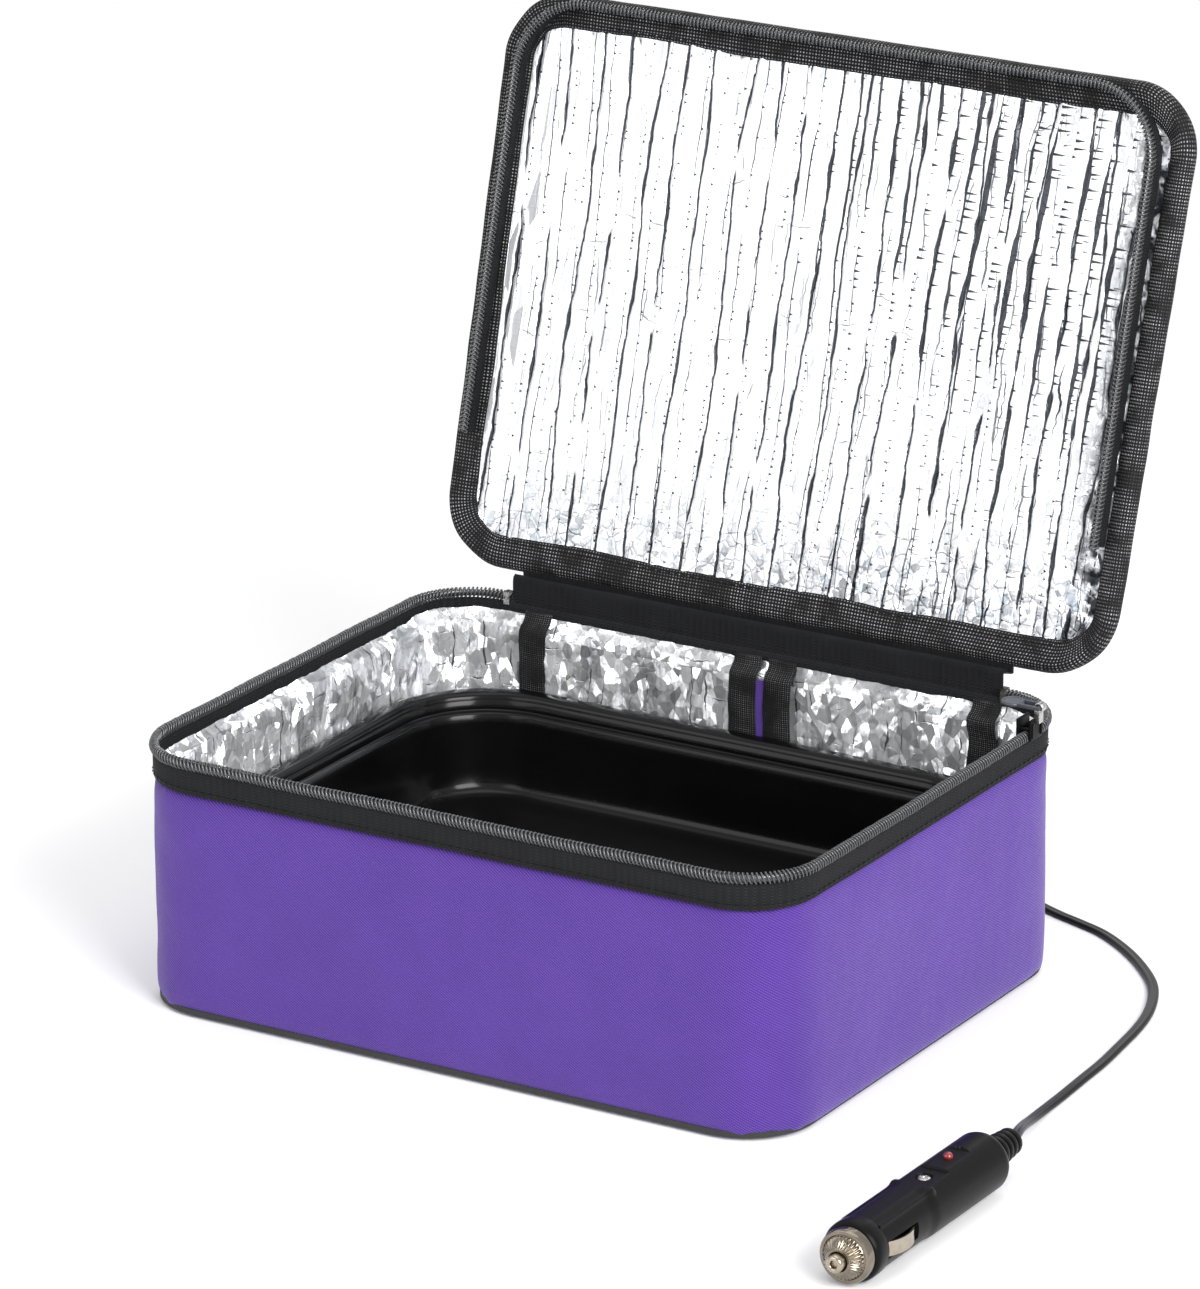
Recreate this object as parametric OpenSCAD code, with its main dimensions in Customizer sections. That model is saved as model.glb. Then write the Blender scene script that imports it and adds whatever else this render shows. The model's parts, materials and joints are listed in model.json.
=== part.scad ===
// Soft-sided electric lunch box: an insulated zip bag with a padded lid, a heating plate
// and a food tray that lift out, and a flat twin lead that ends in a 12 V plug.
// Origin: centre of the bag's base on the table. +X right, +Y back, +Z up. Millimetres.

/* [Bag] */
// Width of the bag, left to right
bag_w = 256; // [246:1:300]
// Depth of the bag, front to back
bag_d = 206; // [200:1:260]
// Corner radius of the bag in plan
corner_r = 26; // [22:1:34]
// Height of the coloured wall
wall_h = 82; // [80:1:140]
// Thickness of the outer fabric
shell_t = 1; // [0.8:0.1:1.6]
// Thickness of the wall padding
pad_t = 4.6; // [3:0.1:5]
// Thickness of the foil lining
foil_t = 0.4; // [0.3:0.1:0.6]

/* [Floor] */
// Thickness of the base cover
base_t = 1.2; // [0.8:0.1:2]
// Thickness of the stiffening board
board_t = 2; // [1.5:0.1:3]
// Thickness of the floor padding
floor_pad_t = 2.4; // [2:0.1:4]

/* [Back panels] */
// Thickness of the two bound panels on the back wall
panel_t = 2.4; // [1.6:0.1:2.6]
// Flat wall left free at the left of the panels
panel_left_in = 10; // [4:1:20]
// Flat wall left free at the right of the panels
panel_right_in = 1; // [1:1:10]
// Middle of the slit between the panels
slit_x = 7; // [2:1:14]
// Width of the slit
slit_w = 3; // [2:0.5:5]
// Width of the tape along a panel's edge
panel_tape_w = 11; // [8:1:14]
// Gap between the floor and the panels
panel_lift = 10; // [9.5:0.5:14]

/* [Zip] */
// Height of the tape band under the teeth
tape_h = 8; // [6:0.5:12]
// Thickness of the tape
tape_t = 1.2; // [0.8:0.1:1.6]
// Height of one row of teeth
chain_h = 4.6; // [3:0.1:6]
// Thickness of the rows of teeth
chain_t = 3; // [2:0.1:4]
// Gap between the two rows when the lid is closed
chain_gap = 1.8; // [1.6:0.1:3]
// Depth of the lid's own tape
lid_tape_h = 5.2; // [5:0.1:9]
// Distance from the bag's back to the parked slider
slider_back = 33; // [33:1:60]
// Length of the slider
slider_l = 12; // [10:0.5:14]
// Wall thickness of the slider
slider_t = 1.2; // [1:0.1:1.6]
// Radius of the pull's round tab
pull_r = 4.2; // [3:0.1:4.4]
// Radius of the pull's pin
pull_pin_r = 0.75; // [0.6:0.05:0.9]

/* [Lid] */
// How far the lid stands out past the bag on each side
lid_side_over = 5; // [3:0.5:8]
// How far the lid stands out past the bag's front
lid_front_over = 2; // [1:0.5:4]
// Corner radius of the lid
lid_r = 24; // [20:1:34]
// Thickness of the lid padding
lid_pad_t = 5; // [3:0.5:8]
// Thickness of the lid's outer cover
lid_cover_t = 1; // [0.8:0.1:2]
// Width of the binding seen on the foil side
binding_w = 11; // [8:1:16]
// Thickness of the binding
binding_t = 0.8; // [0.6:0.1:1.2]
// Angle between the open lid and the closed lid
open_angle = 106; // [95:1:115]

/* [Heating plate] */
// Gap between the plate and the lining at the sides
plate_side_gap = 8; // [3:0.5:12]
// Gap between the plate and the back panels
plate_back_gap = 7.1; // [7:0.1:12]
// Corner radius of the plate
plate_r = 14; // [10:1:20]
// Height of the plate on its feet
plate_h = 22; // [20:0.5:26]
// Height of the gap between the feet
foot_h = 9; // [8:0.5:9.5]
// Length of a foot along the front and the sides
foot_l = 30; // [24:1:40]
// Wall thickness of the frame
frame_t = 3; // [2.4:0.1:3.4]
// Thickness of the aluminium top
top_t = 2; // [1.5:0.1:2.4]
// Depth of the notch in the back edge
notch_d = 7; // [6:0.5:7]
// Half width of the notch at its inner end
notch_half = 8; // [7.5:0.5:10]

/* [Food tray] */
// Gap between the tray's rim and the lining at the sides
tray_side_gap = 2; // [1:0.1:6]
// Gap between the tray's rim and the back panels
tray_back_gap = 2.6; // [1.5:0.1:6]
// Height of the tray
tray_h = 36; // [30:1:42]
// Corner radius of the rim
tray_r = 42; // [36:1:48]
// Wall thickness of the tray
tray_t = 1.2; // [1:0.1:1.6]
// Width of the rim flange
flange_w = 7; // [5:0.5:8]

/* [Lead] */
// Width of the flat twin lead
cord_w = 4; // [3.6:0.1:4.4]
// Thickness of the flat twin lead
cord_t = 2.2; // [1.8:0.1:2.6]
// Turns in the spare coil
coil_turns = 7.25; // [5.25:1:7.25]
// Radius of the coil's outermost turn
coil_r = 32; // [30:1:34]
// Distance between neighbouring turns
coil_pitch = 4.6; // [4.5:0.1:4.7]

/* [Plug] */
// Radius of the plug's grip
grip_r = 10.3; // [9.8:0.1:10.8]
// Radius of the plug's front body
nose_r = 9.8; // [9.4:0.1:9.8]
// Wall thickness of the plug shells
plug_t = 2.2; // [1.8:0.1:2.6]
// Radius of the centre pin
pin_r = 3; // [2.5:0.1:3.2]
// Travel of the centre pin
pin_travel = 3; // [2:0.5:3]
// Travel of a side contact
contact_travel = 1.4; // [1:0.1:1.4]

/* [Hidden] */

$fn = 64;
clear = 0.3;        // gap between soft or curved faces on different bodies
snug = 0.1;         // gap between pieces fixed in one body
pin_fit = 0.05;     // radial clearance of a pin in its bore
past = 1;           // how far a cut runs past the face it opens

purple = [0.40, 0.26, 0.65];
black = [0.06, 0.06, 0.065];
tape_black = [0.09, 0.09, 0.095];
silver = [0.80, 0.82, 0.85];
charcoal = [0.17, 0.18, 0.21];
nickel = [0.78, 0.74, 0.67];
foam_grey = [0.85, 0.85, 0.85];

// Bag levels and lines
half_w = bag_w / 2;
half_d = bag_d / 2;
flat_x = half_w - corner_r;
wall_t = shell_t + pad_t + foil_t;
board_z = base_t;
pad_z = board_z + board_t;
floor_z = pad_z + floor_pad_t + foil_t;
panel_left_x = panel_left_in - flat_x;
panel_right_x = flat_x - panel_right_in;
cap_t = 2;
tape_top = wall_h + tape_h;
lower_top = tape_top + chain_h;
upper_z = lower_top + chain_gap;
lid_tape_z = upper_z + chain_h;
lid_z = lid_tape_z + lid_tape_h + binding_t;
chain_out = (chain_t - tape_t) / 2;
stop_l = 2.4;
hinge_tape_hem = 4;

// Lid hinge line
hinge_y = half_d;
hinge_z = lower_top + 5.4;
hinge_gap = 1.5;
lid_back_gap = 2;
lid_w = bag_w + 2 * lid_side_over;
lid_d = bag_d - lid_back_gap + lid_front_over;
lid_mid_y = hinge_y - lid_back_gap - lid_d / 2;
lid_top = lid_z + foil_t + lid_pad_t + lid_cover_t;
hinge_half = flat_x - stop_l - clear;

// Slider
slider_y = half_d - slider_back;
slider_skirt = 1;
slider_z = tape_top - slider_skirt;
slider_rise = 1;
slider_room = 9;
lid_zip_y = slider_y - slider_l / 2 - slider_room;    // the lid's teeth end before the parked slider
slider_top = lid_tape_z + slider_rise;
channel_out = chain_out + clear;
channel_in = chain_out + tape_t + clear;
crown_w = 3;
crown_h = 5.5;
pivot_x = channel_out + slider_t + 1.6;
pivot_z = slider_top + 1.2;
pull_t = 1.4;
pull_l = pivot_x + 7;

// Heating plate, with its levels above the bag's floor
panel_y = half_d - wall_t;
panel_z = floor_z + panel_lift;
plate_w = bag_w - 2 * (wall_t + plate_side_gap);
plate_d = bag_d - 2 * (wall_t + panel_t + plate_back_gap);
back_edge = plate_d / 2;
notch_y = back_edge - notch_d;
notch_slope = 7.5 / 7;
lip_w = 2;
lip_h = 0.4;
top_z = plate_h - lip_h - top_t;
ledge_t = 2;
ledge_w = 6;
cover_z = foot_h + 0.6;
cover_t = 1.6;
boss_r = 4;
boss_in = 6.7;
boss_z = cover_z + cover_t;
boss_side_y = plate_d / 2 - 37.5;
boss_end_x = plate_w / 2 - 54;
mat_t = 1.2;
mat_gap = 1;
mat_w = plate_w - 2 * (boss_in + boss_r + mat_gap);
mat_d = 2 * (notch_y - ledge_w - mat_gap);
mat_r = 6;
mat_z = top_z - mat_t;
screw_r = 1.5;
screw_head_r = 2.8;
screw_head_t = 1.2;
screw_l = 7;
thermostat_at = [30, 0];
thermostat_r = 7;
fuse_at = [-40, 20];
thermal_fuse_r = 2;
thermal_fuse_l = 14;
fuse_lead_l = 8;
fuse_lead_r = 0.6;
thermostat_t = 3;
thermostat_rim = 1;
tab_gap = 4;
tab_w = 3;
tab_t = 0.8;
tab_l = 2;
foot_pad_t = 1;
foot_slope = 6;
contact_x = 3.5;
inlet_w = 14;
inlet_d = 6;
inlet_h = 5;
contact_r = 1;
contact_drop = 5;
contact_grip = 3.5;
contact_y = notch_y + 3;

// Food tray
tray_w = bag_w - 2 * (wall_t + tray_side_gap);
tray_d = bag_d - 2 * (wall_t + panel_t + tray_back_gap);
tray_z = floor_z + plate_h - lip_h;
tray_step = 8;
tray_lip = 1.4;
tray_curl = 2;
tray_draft = 1;
tray_in_top = flange_w + 2 * tray_draft;
tray_foot_h = 3;
tray_foot_in = 3;
tray_in_side = tray_in_top + 4;
tray_in_floor = tray_in_side + tray_foot_in;
tray_foot_r = tray_r - tray_in_side - 2;
thin = 0.01;
facets = 32;

// Lead: gland, coil and routes
gland_z = floor_z + 5;
gland_r = 4;
gland_flange_r = 6.4;
gland_out = 2;
gland_tip = 13;
gland_end = half_d + gland_out + gland_tip;
coil_mid = [5, 168];
coil_base = 0.8;
coil_layer = 2.9;
coil_z = coil_base + cord_t / 2;
coil_steps = 24;
lay_z = cord_t / 2;
tie_t = 0.5;
tie_w = 8;

// Routes of the free lead, points chosen by hand
rear_route = [
    [0, gland_end, gland_z], [0, gland_end + 4, gland_z - 0.4], [-3, 127, 9.2],
    [-10, 131, 6.8], [-18, 136, 4.4], [-25, 143, 2.8], [-28, 152, coil_z],
    [coil_mid[0] - coil_r - 0.4, coil_mid[1] - 10, coil_z],
    [coil_mid[0] - coil_r, coil_mid[1] - cord_w, coil_z]
];
front_route = [
    [coil_mid[0] + cord_w, coil_mid[1] + coil_r, coil_z + coil_layer],
    [18, 199, 4.2], [30, 195, 3], [43, 187, 1.8], [56, 176, lay_z], [69, 164, lay_z],
    [82, 151, lay_z], [94, 141, lay_z], [106, 135, lay_z], [117, 131, lay_z],
    [129, 126, lay_z], [142, 117, lay_z], [154, 106, lay_z], [165, 93, lay_z],
    [172, 80, lay_z], [177, 66, lay_z], [180, 52, lay_z], [182, 37, lay_z],
    [184, 20, lay_z], [185, 3, lay_z], [186, -13, lay_z], [187, -28, 1.5],
    [189, -40, 3], [192, -51, 5.6], [196, -62, 8.6], [199, -70, 10.2],
    [200, -75, 10.5]
];

// Plug, along its own +X from the back of the grip to the tip
plug_at = [200, -93, 10.5];
plug_yaw = -90;
relief_l = 18;
grip_end = 48;
taper_end = 54;
shell_end = 82;
neck_l = 3;
neck_r = 8.2;
collar_end = 89;
ring_end = 93;
cone_end = 97;
pin_end = cone_end + pin_travel;
cavity_r = nose_r - plug_t;
bore_r = cavity_r - 0.6;
flat_z = grip_r - 1.1;
flat_x0 = 14;
flat_x1 = 49;
lens_x = 25;
lens_r = 1.6;
lens_foot = 0.8;
lens_rise = 0.6;
screw_x = 41;
post_r = 4;
plug_screw_r = 1.2;
plug_screw_head_r = 2.3;
fuse_x = 46.5;
fuse_l = 30;
fuse_r = 3.1;
spring_r = 4;
flange_at = 86.4;
flange_t = 2;
flange_r = 4.5;
slot_x0 = 62;
slot_x1 = 81;
leaf_rise = 3;
leaf_t = 0.6;
leaf_w = 5;
leaf_out = contact_travel + snug;
leaf_root = 2.5;

// ---- helpers -------------------------------------------------------------

module rounded(w, d, r) {
    square([w - 2 * r, d], center = true);
    square([w, d - 2 * r], center = true);
    for (x = [-1, 1], y = [-1, 1])
        translate([x * (w / 2 - r), y * (d / 2 - r)])
            circle(r);
}

// Bag outline moved inwards by inset
module bag_outline(inset) {
    rounded(bag_w - 2 * inset, bag_d - 2 * inset, corner_r - inset);
}

module bag_ring(outer, inner, z0, z1) {
    translate([0, 0, z0])
        linear_extrude(z1 - z0)
            difference() {
                bag_outline(outer);
                bag_outline(inner);
            }
}

module slab(inset, z0, z1) {
    translate([0, 0, z0])
        linear_extrude(z1 - z0)
            bag_outline(inset);
}

// The flat stretch of the front (side = -1) or back (side = 1) wall
module end_zone(side) {
    translate([-flat_x, side > 0 ? 0 : -bag_d, -past])
        cube([2 * flat_x, bag_d, 4 * wall_h]);
}

// One side wall with both its corners
module side_zone(side) {
    translate([side > 0 ? flat_x : -bag_w - flat_x, -bag_d, -past])
        cube([bag_w, 2 * bag_d, 4 * wall_h]);
}

// Everything but the flat stretch of the back wall: where the zip runs
module zip_zone() {
    difference() {
        children();
        end_zone(1);
    }
}

// The stretch of the zip that the lid carries
module lid_zip_zone() {
    intersection() {
        children();
        translate([-bag_w, lid_zip_y - 2 * bag_d, 0])
            cube([2 * bag_w, 2 * bag_d, 4 * wall_h]);
    }
}

module gland_bore() {
    translate([0, half_d + past, gland_z])
        rotate([90, 0, 0])
            cylinder(h = wall_t + 2 * past, r = gland_r + snug);
}

module lid_pose() {
    translate([0, hinge_y, hinge_z])
        rotate([-open_angle, 0, 0])
            translate([0, -hinge_y, -hinge_z])
                children();
}

module lid_slab(inset, z0, z1) {
    translate([0, lid_mid_y, z0])
        linear_extrude(z1 - z0)
            rounded(lid_w - 2 * inset, lid_d - 2 * inset, lid_r - inset);
}

module lid_ring(outer, inner, z0, z1) {
    translate([0, lid_mid_y, z0])
        linear_extrude(z1 - z0)
            difference() {
                rounded(lid_w - 2 * outer, lid_d - 2 * outer, lid_r - outer);
                rounded(lid_w - 2 * inner, lid_d - 2 * inner, lid_r - inner);
            }
}

// Plate outline with its cable notch, moved inwards by inset
module plate_outline(inset) {
    lean = sqrt(1 + notch_slope * notch_slope);
    deep = notch_y - inset;
    inner = notch_half + inset * (lean - notch_slope);
    outer = inner + (back_edge + past - deep) * notch_slope;
    difference() {
        rounded(plate_w - 2 * inset, plate_d - 2 * inset, plate_r - inset);
        polygon([
            [-inner, deep], [inner, deep],
            [outer, back_edge + past], [-outer, back_edge + past]
        ]);
    }
}

module plate_ring(outer, inner, z0, z1) {
    translate([0, 0, z0])
        linear_extrude(z1 - z0)
            difference() {
                plate_outline(outer);
                plate_outline(inner);
            }
}

module plate_pose() {
    translate([0, 0, floor_z])
        children();
}

module at_bosses() {
    for (x = [-1, 1], y = [-1, 1]) {
        translate([x * (plate_w / 2 - boss_in), y * boss_side_y, 0])
            children();
        translate([x * boss_end_x, y * (plate_d / 2 - boss_in), 0])
            children();
    }
}

module plug_pose() {
    translate(plug_at)
        rotate([0, 0, plug_yaw])
            children();
}

// A solid turned round the plug's axis from [x, r] points
module turned(points) {
    rotate([90, 0, 90])
        rotate_extrude()
            polygon([for (p = points) [p[1], p[0]]]);
}

module along_x(x0, x1, r) {
    translate([x0, 0, 0])
        rotate([0, 90, 0])
            cylinder(h = x1 - x0, r = r);
}

// ---- flat lead sweep -----------------------------------------------------

function unit(v) = v / norm(v);

// Corners of the lead's flat section: half width, half thickness
function section(sides) = [
    for (i = [0 : sides - 1])
        let (a = 360 * i / sides)
            [cord_w / 2 * cos(a), cord_t / 2 * (sides == 6 ? sin(a) / sin(60) : sin(a))]
];

function heading(path, i) =
    i == 0 ? unit(path[1] - path[0])
    : i == len(path) - 1 ? unit(path[i] - path[i - 1])
    : unit(path[i + 1] - path[i - 1]);

function ring_points(path, i, profile, t) =
    let (side = unit(cross(t, [0, 0, 1])), up = cross(side, t))
        [for (p = profile) path[i] + side * p[0] + up * p[1]];

// Closed tube along path; the first and last rings face t0 and t1
module flat_tube(path, sides, t0, t1) {
    profile = section(sides);
    n = len(path);
    points = [
        for (i = [0 : n - 1])
            let (t = i == 0 ? t0 : i == n - 1 ? t1 : heading(path, i))
                each ring_points(path, i, profile, t)
    ];
    sides_faces = [
        for (i = [0 : n - 2], k = [0 : sides - 1])
            let (a = i * sides + k, b = i * sides + (k + 1) % sides)
                each [[a, b, b + sides], [a, b + sides, a + sides]]
    ];
    first = [for (k = [1 : sides - 2]) [0, k + 1, k]];
    last_ring = (n - 1) * sides;
    last = [for (k = [1 : sides - 2]) [last_ring, last_ring + k, last_ring + k + 1]];
    polyhedron(points = points, faces = concat(sides_faces, first, last));
}

// Points between a, b, c and d on a smooth curve through b and c
function between(a, b, c, d, u) =
    0.5 * ((2 * b) + (c - a) * u + (2 * a - 5 * b + 4 * c - d) * u * u
    + (3 * b - a - 3 * c + d) * u * u * u);

function smooth(route, steps) = [
    for (i = [0 : len(route) - 2], k = [0 : steps - 1])
        let (
            a = i == 0 ? 2 * route[0] - route[1] : route[i - 1],
            d = i == len(route) - 2 ? 2 * route[i + 1] - route[i] : route[i + 2]
        )
            between(a, route[i], route[i + 1], d, k / steps),
    route[len(route) - 1]
];

// The spare coil: in on the lower layer, out again on the upper one, clockwise from above
function coil_angle(turn) = 180 - 360 * turn;
function coil_radius(turn) = coil_r - coil_pitch * min(turn, coil_turns - turn);
function coil_climb(turn) =
    let (u = min(1, max(0, (turn - coil_turns / 2) * 2 + 0.5))) u * u * (3 - 2 * u);
function coil_point(turn) =
    let (a = coil_angle(turn), r = coil_radius(turn))
        [coil_mid[0] + r * cos(a), coil_mid[1] + r * sin(a), coil_z + coil_layer * coil_climb(turn)];

coil_loops = [
    for (i = [0 : coil_turns * coil_steps]) coil_point(i / coil_steps)
];
coil_path = concat(
    [coil_loops[0] - [0, cord_w, 0]],
    coil_loops,
    [coil_loops[len(coil_loops) - 1] + [cord_w, 0, 0]]
);

// Least gap between turns, on section corners that lie about one turn apart
coil_rings = [
    for (i = [1 : len(coil_path) - 2])
        ring_points(coil_path, i, section(6), heading(coil_path, i))
];
coil_gap = min([
    for (i = [0 : len(coil_rings) - 1 - coil_steps / 2])
        for (j = [i + coil_steps / 2 : min(i + 3 * coil_steps / 2, len(coil_rings) - 1)])
            if (norm(coil_path[i + 1] - coil_path[j + 1]) < 2.5 * cord_w)
                min([for (p = coil_rings[i], q = coil_rings[j]) norm(p - q)])
]);
echo("least gap of the coil to itself, mm", coil_gap);

// ---- bag -----------------------------------------------------------------

module base_cover() {
    color(black)
        slab(0, 0, base_t);
}

module base_board() {
    color(black)
        slab(shell_t, board_z, pad_z);
}

module floor_pad() {
    color(foam_grey)
        slab(shell_t + pad_t, pad_z, floor_z - foil_t);
}

module floor_foil() {
    color(silver)
        slab(shell_t + pad_t, floor_z - foil_t, floor_z);
}

module outer_shell() {
    color(purple)
        difference() {
            bag_ring(0, shell_t, base_t, wall_h);
            gland_bore();
        }
}

module wall_pad() {
    bag_ring(shell_t, shell_t + pad_t, pad_z, wall_h);
}

module wall_foil() {
    bag_ring(shell_t + pad_t, wall_t, floor_z, wall_h);
}

module front_pad() {
    color(foam_grey)
        intersection() {
            wall_pad();
            end_zone(-1);
        }
}

module back_pad() {
    color(foam_grey)
        difference() {
            intersection() {
                wall_pad();
                end_zone(1);
            }
            gland_bore();
        }
}

module side_pad(side) {
    color(foam_grey)
        intersection() {
            wall_pad();
            side_zone(side);
        }
}

module front_foil() {
    color(silver)
        intersection() {
            wall_foil();
            end_zone(-1);
        }
}

module side_foil(side) {
    color(silver)
        intersection() {
            wall_foil();
            side_zone(side);
        }
}

module back_lining() {
    color(purple)
        difference() {
            intersection() {
                wall_foil();
                end_zone(1);
            }
            gland_bore();
        }
}

// One of the bound panels on the back wall
module back_panel(x0, x1) {
    color(silver)
        translate([x0 + panel_tape_w, panel_y - panel_t, panel_z + binding_t])
            cube([x1 - x0 - 2 * panel_tape_w, panel_t, wall_h - panel_z - binding_t]);
}

module panel_binding(x0, x1) {
    color(tape_black)
        for (x = [x0, x1 - panel_tape_w])
            translate([x, panel_y - panel_t, panel_z])
                cube([panel_tape_w, panel_t, wall_h - panel_z]);
    color(tape_black)
        translate([x0 + panel_tape_w, panel_y - panel_t, panel_z])
            cube([x1 - x0 - 2 * panel_tape_w, panel_t, binding_t]);
}

module rim_tape() {
    color(tape_black) {
        bag_ring(0, wall_t, wall_h, wall_h + cap_t);
        bag_ring(0, tape_t, wall_h + cap_t, tape_top);
    }
}

module zip_row(z0) {
    bag_ring(-chain_out, tape_t + chain_out, z0, z0 + chain_h);
}

module zip_chain_lower() {
    color(black)
        zip_zone()
            zip_row(tape_top);
}

module zip_stops() {
    color(nickel)
        for (side = [-1, 1])
            translate([side > 0 ? flat_x - stop_l : -flat_x, half_d - tape_t - chain_out, tape_top])
                cube([stop_l, chain_t, chain_h]);
}

module bag_hinge_tape() {
    color(tape_black)
        translate([-hinge_half, half_d, wall_h - hinge_tape_hem])
            cube([2 * hinge_half, binding_t, hinge_z - hinge_gap - wall_h + hinge_tape_hem]);
}

// ---- zip slider, on the right side ----------------------------------------

module slider_pose() {
    translate([half_w, slider_y, 0])
        children();
}

module zip_slider() {
    color(nickel)
        slider_pose() {
            for (x = [channel_out, -channel_in - slider_t])
                translate([x, -slider_l / 2, slider_z])
                    cube([slider_t, slider_l, slider_top - slider_z]);
            translate([-channel_in, -slider_l / 2, lower_top + clear])
                cube([channel_in + channel_out, slider_l / 4, chain_gap - 2 * clear]);
            difference() {
                translate([channel_out + slider_t, -crown_w / 2, pivot_z + 1.8 - crown_h])
                    cube([3, crown_w, crown_h]);
                translate([pivot_x, crown_w, pivot_z])
                    rotate([90, 0, 0])
                        cylinder(h = 2 * crown_w, r = pull_pin_r + pin_fit);
            }
        }
}

module zip_pull() {
    color(charcoal)
        slider_pose()
            translate([pivot_x, 0, pivot_z]) {
                rotate([90, 0, 0])
                    cylinder(h = crown_w + 2 * clear + 2, r = pull_pin_r, center = true);
                for (side = [-1, 1])
                    translate([-pull_l, side * (crown_w / 2 + clear + 0.5) - 0.5, -pull_t / 2])
                        cube([pull_l + 0.7, 1, pull_t]);
                translate([-pull_l, 0, -pull_t / 2])
                    cylinder(h = pull_t, r = pull_r);
            }
}

// ---- lid, drawn closed and turned open --------------------------------------

module lid_foil() {
    color(silver)
        lid_pose()
            lid_slab(binding_t, lid_z, lid_z + foil_t);
}

module lid_pad() {
    color(foam_grey)
        lid_pose()
            lid_slab(binding_t, lid_z + foil_t, lid_z + foil_t + lid_pad_t);
}

module lid_cover() {
    color(purple)
        lid_pose()
            lid_slab(binding_t, lid_top - lid_cover_t, lid_top);
}

module lid_binding() {
    color(tape_black)
        lid_pose() {
            lid_ring(0, binding_t, lid_z - binding_t, lid_top + binding_t);
            lid_ring(binding_t, binding_w, lid_z - binding_t, lid_z);
            lid_ring(binding_t, binding_w, lid_top, lid_top + binding_t);
        }
}

module lid_zip_tape() {
    color(tape_black)
        lid_pose()
            lid_zip_zone()
                bag_ring(0, tape_t, lid_tape_z, lid_tape_z + lid_tape_h);
}

module zip_chain_upper() {
    color(black)
        lid_pose()
            lid_zip_zone()
                zip_row(upper_z);
}

module lid_hinge_tape() {
    edge = lid_mid_y + lid_d / 2;
    color(tape_black)
        lid_pose() {
            translate([-hinge_half, half_d, hinge_z + hinge_gap / 2])
                cube([2 * hinge_half, binding_t, lid_z + binding_t - hinge_z - hinge_gap / 2]);
            translate([-hinge_half, edge, lid_z])
                cube([2 * hinge_half, half_d - edge, binding_t]);
        }
}

// ---- heating plate ----------------------------------------------------------

// Gap between two feet, with sloping ends
module foot_gap(length, reach) {
    rotate([90, 0, 0])
        translate([0, 0, -reach / 2])
            linear_extrude(reach)
                polygon([
                    [-length / 2 - foot_slope, -past], [length / 2 + foot_slope, -past],
                    [length / 2, foot_h], [-length / 2, foot_h]
                ]);
}

module plate_frame() {
    color(charcoal)
        plate_pose()
            difference() {
                union() {
                    plate_ring(0, frame_t, foot_pad_t, top_z - ledge_t);
                    plate_ring(0, ledge_w, top_z - ledge_t, top_z);
                    plate_ring(0, lip_w, top_z, plate_h);
                    at_bosses()
                        translate([0, 0, boss_z])
                            cylinder(h = top_z - ledge_t - boss_z, r = boss_r);
                }
                foot_gap(plate_w - 2 * foot_l, 2 * plate_d);
                rotate([0, 0, 90])
                    foot_gap(plate_d - 2 * foot_l, 2 * plate_w);
                at_bosses()
                    translate([0, 0, boss_z - past])
                        cylinder(h = top_z - ledge_t - boss_z, r = screw_r + pin_fit);
            }
}

module hot_plate() {
    color([0.30, 0.32, 0.33])
        plate_pose()
            translate([0, 0, top_z])
                linear_extrude(top_t)
                    plate_outline(lip_w + snug);
}

module heater_mat() {
    color([0.62, 0.36, 0.16])
        plate_pose()
            translate([0, 0, mat_z])
                linear_extrude(mat_t)
                    rounded(mat_w, mat_d, mat_r);
}

module thermostat() {
    color(black)
        plate_pose()
            translate([thermostat_at[0], thermostat_at[1], 0]) {
                translate([0, 0, mat_z - thermostat_rim])
                    cylinder(h = thermostat_rim, r = thermostat_r + thermostat_rim);
                translate([0, 0, mat_z - thermostat_rim - thermostat_t])
                    cylinder(h = thermostat_t, r = thermostat_r);
                for (x = [-1, 1])
                    translate([
                        x * tab_gap - tab_w / 2, -tab_t / 2, mat_z - thermostat_rim - thermostat_t - tab_l
                    ])
                        cube([tab_w, tab_t, tab_l]);
            }
}

module thermal_fuse() {
    color(silver)
        plate_pose()
            translate([fuse_at[0] - thermal_fuse_l / 2, fuse_at[1], mat_z - thermal_fuse_r]) {
                along_x(0, thermal_fuse_l, thermal_fuse_r);
                along_x(-fuse_lead_l, 0, fuse_lead_r);
                along_x(thermal_fuse_l, thermal_fuse_l + fuse_lead_l, fuse_lead_r);
            }
}

module insulation_mat() {
    color(foam_grey)
        plate_pose()
            translate([0, 0, boss_z])
                linear_extrude(mat_z - boss_z)
                    difference() {
                        rounded(mat_w, mat_d, mat_r);
                        translate(thermostat_at)
                            circle(thermostat_r + thermostat_rim + clear);
                        translate(fuse_at)
                            square([
                                thermal_fuse_l + 2 * (fuse_lead_l + clear), 2 * (thermal_fuse_r + clear)
                            ], center = true);
                    }
}

module bottom_cover() {
    color(charcoal)
        plate_pose()
            difference() {
                translate([0, 0, cover_z])
                    linear_extrude(cover_t)
                        plate_outline(frame_t + snug);
                at_bosses()
                    cylinder(h = boss_z + past, r = screw_r + pin_fit);
            }
}

module cover_screws() {
    color(nickel)
        plate_pose()
            at_bosses() {
                translate([0, 0, cover_z - screw_head_t])
                    cylinder(h = screw_head_t, r = screw_head_r);
                translate([0, 0, cover_z])
                    cylinder(h = screw_l, r = screw_r);
            }
}

module foot_pads() {
    color(black)
        plate_pose()
            difference() {
                plate_ring(0, frame_t, 0, foot_pad_t);
                foot_gap(plate_w - 2 * foot_l, 2 * plate_d);
                rotate([0, 0, 90])
                    foot_gap(plate_d - 2 * foot_l, 2 * plate_w);
            }
}

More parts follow.
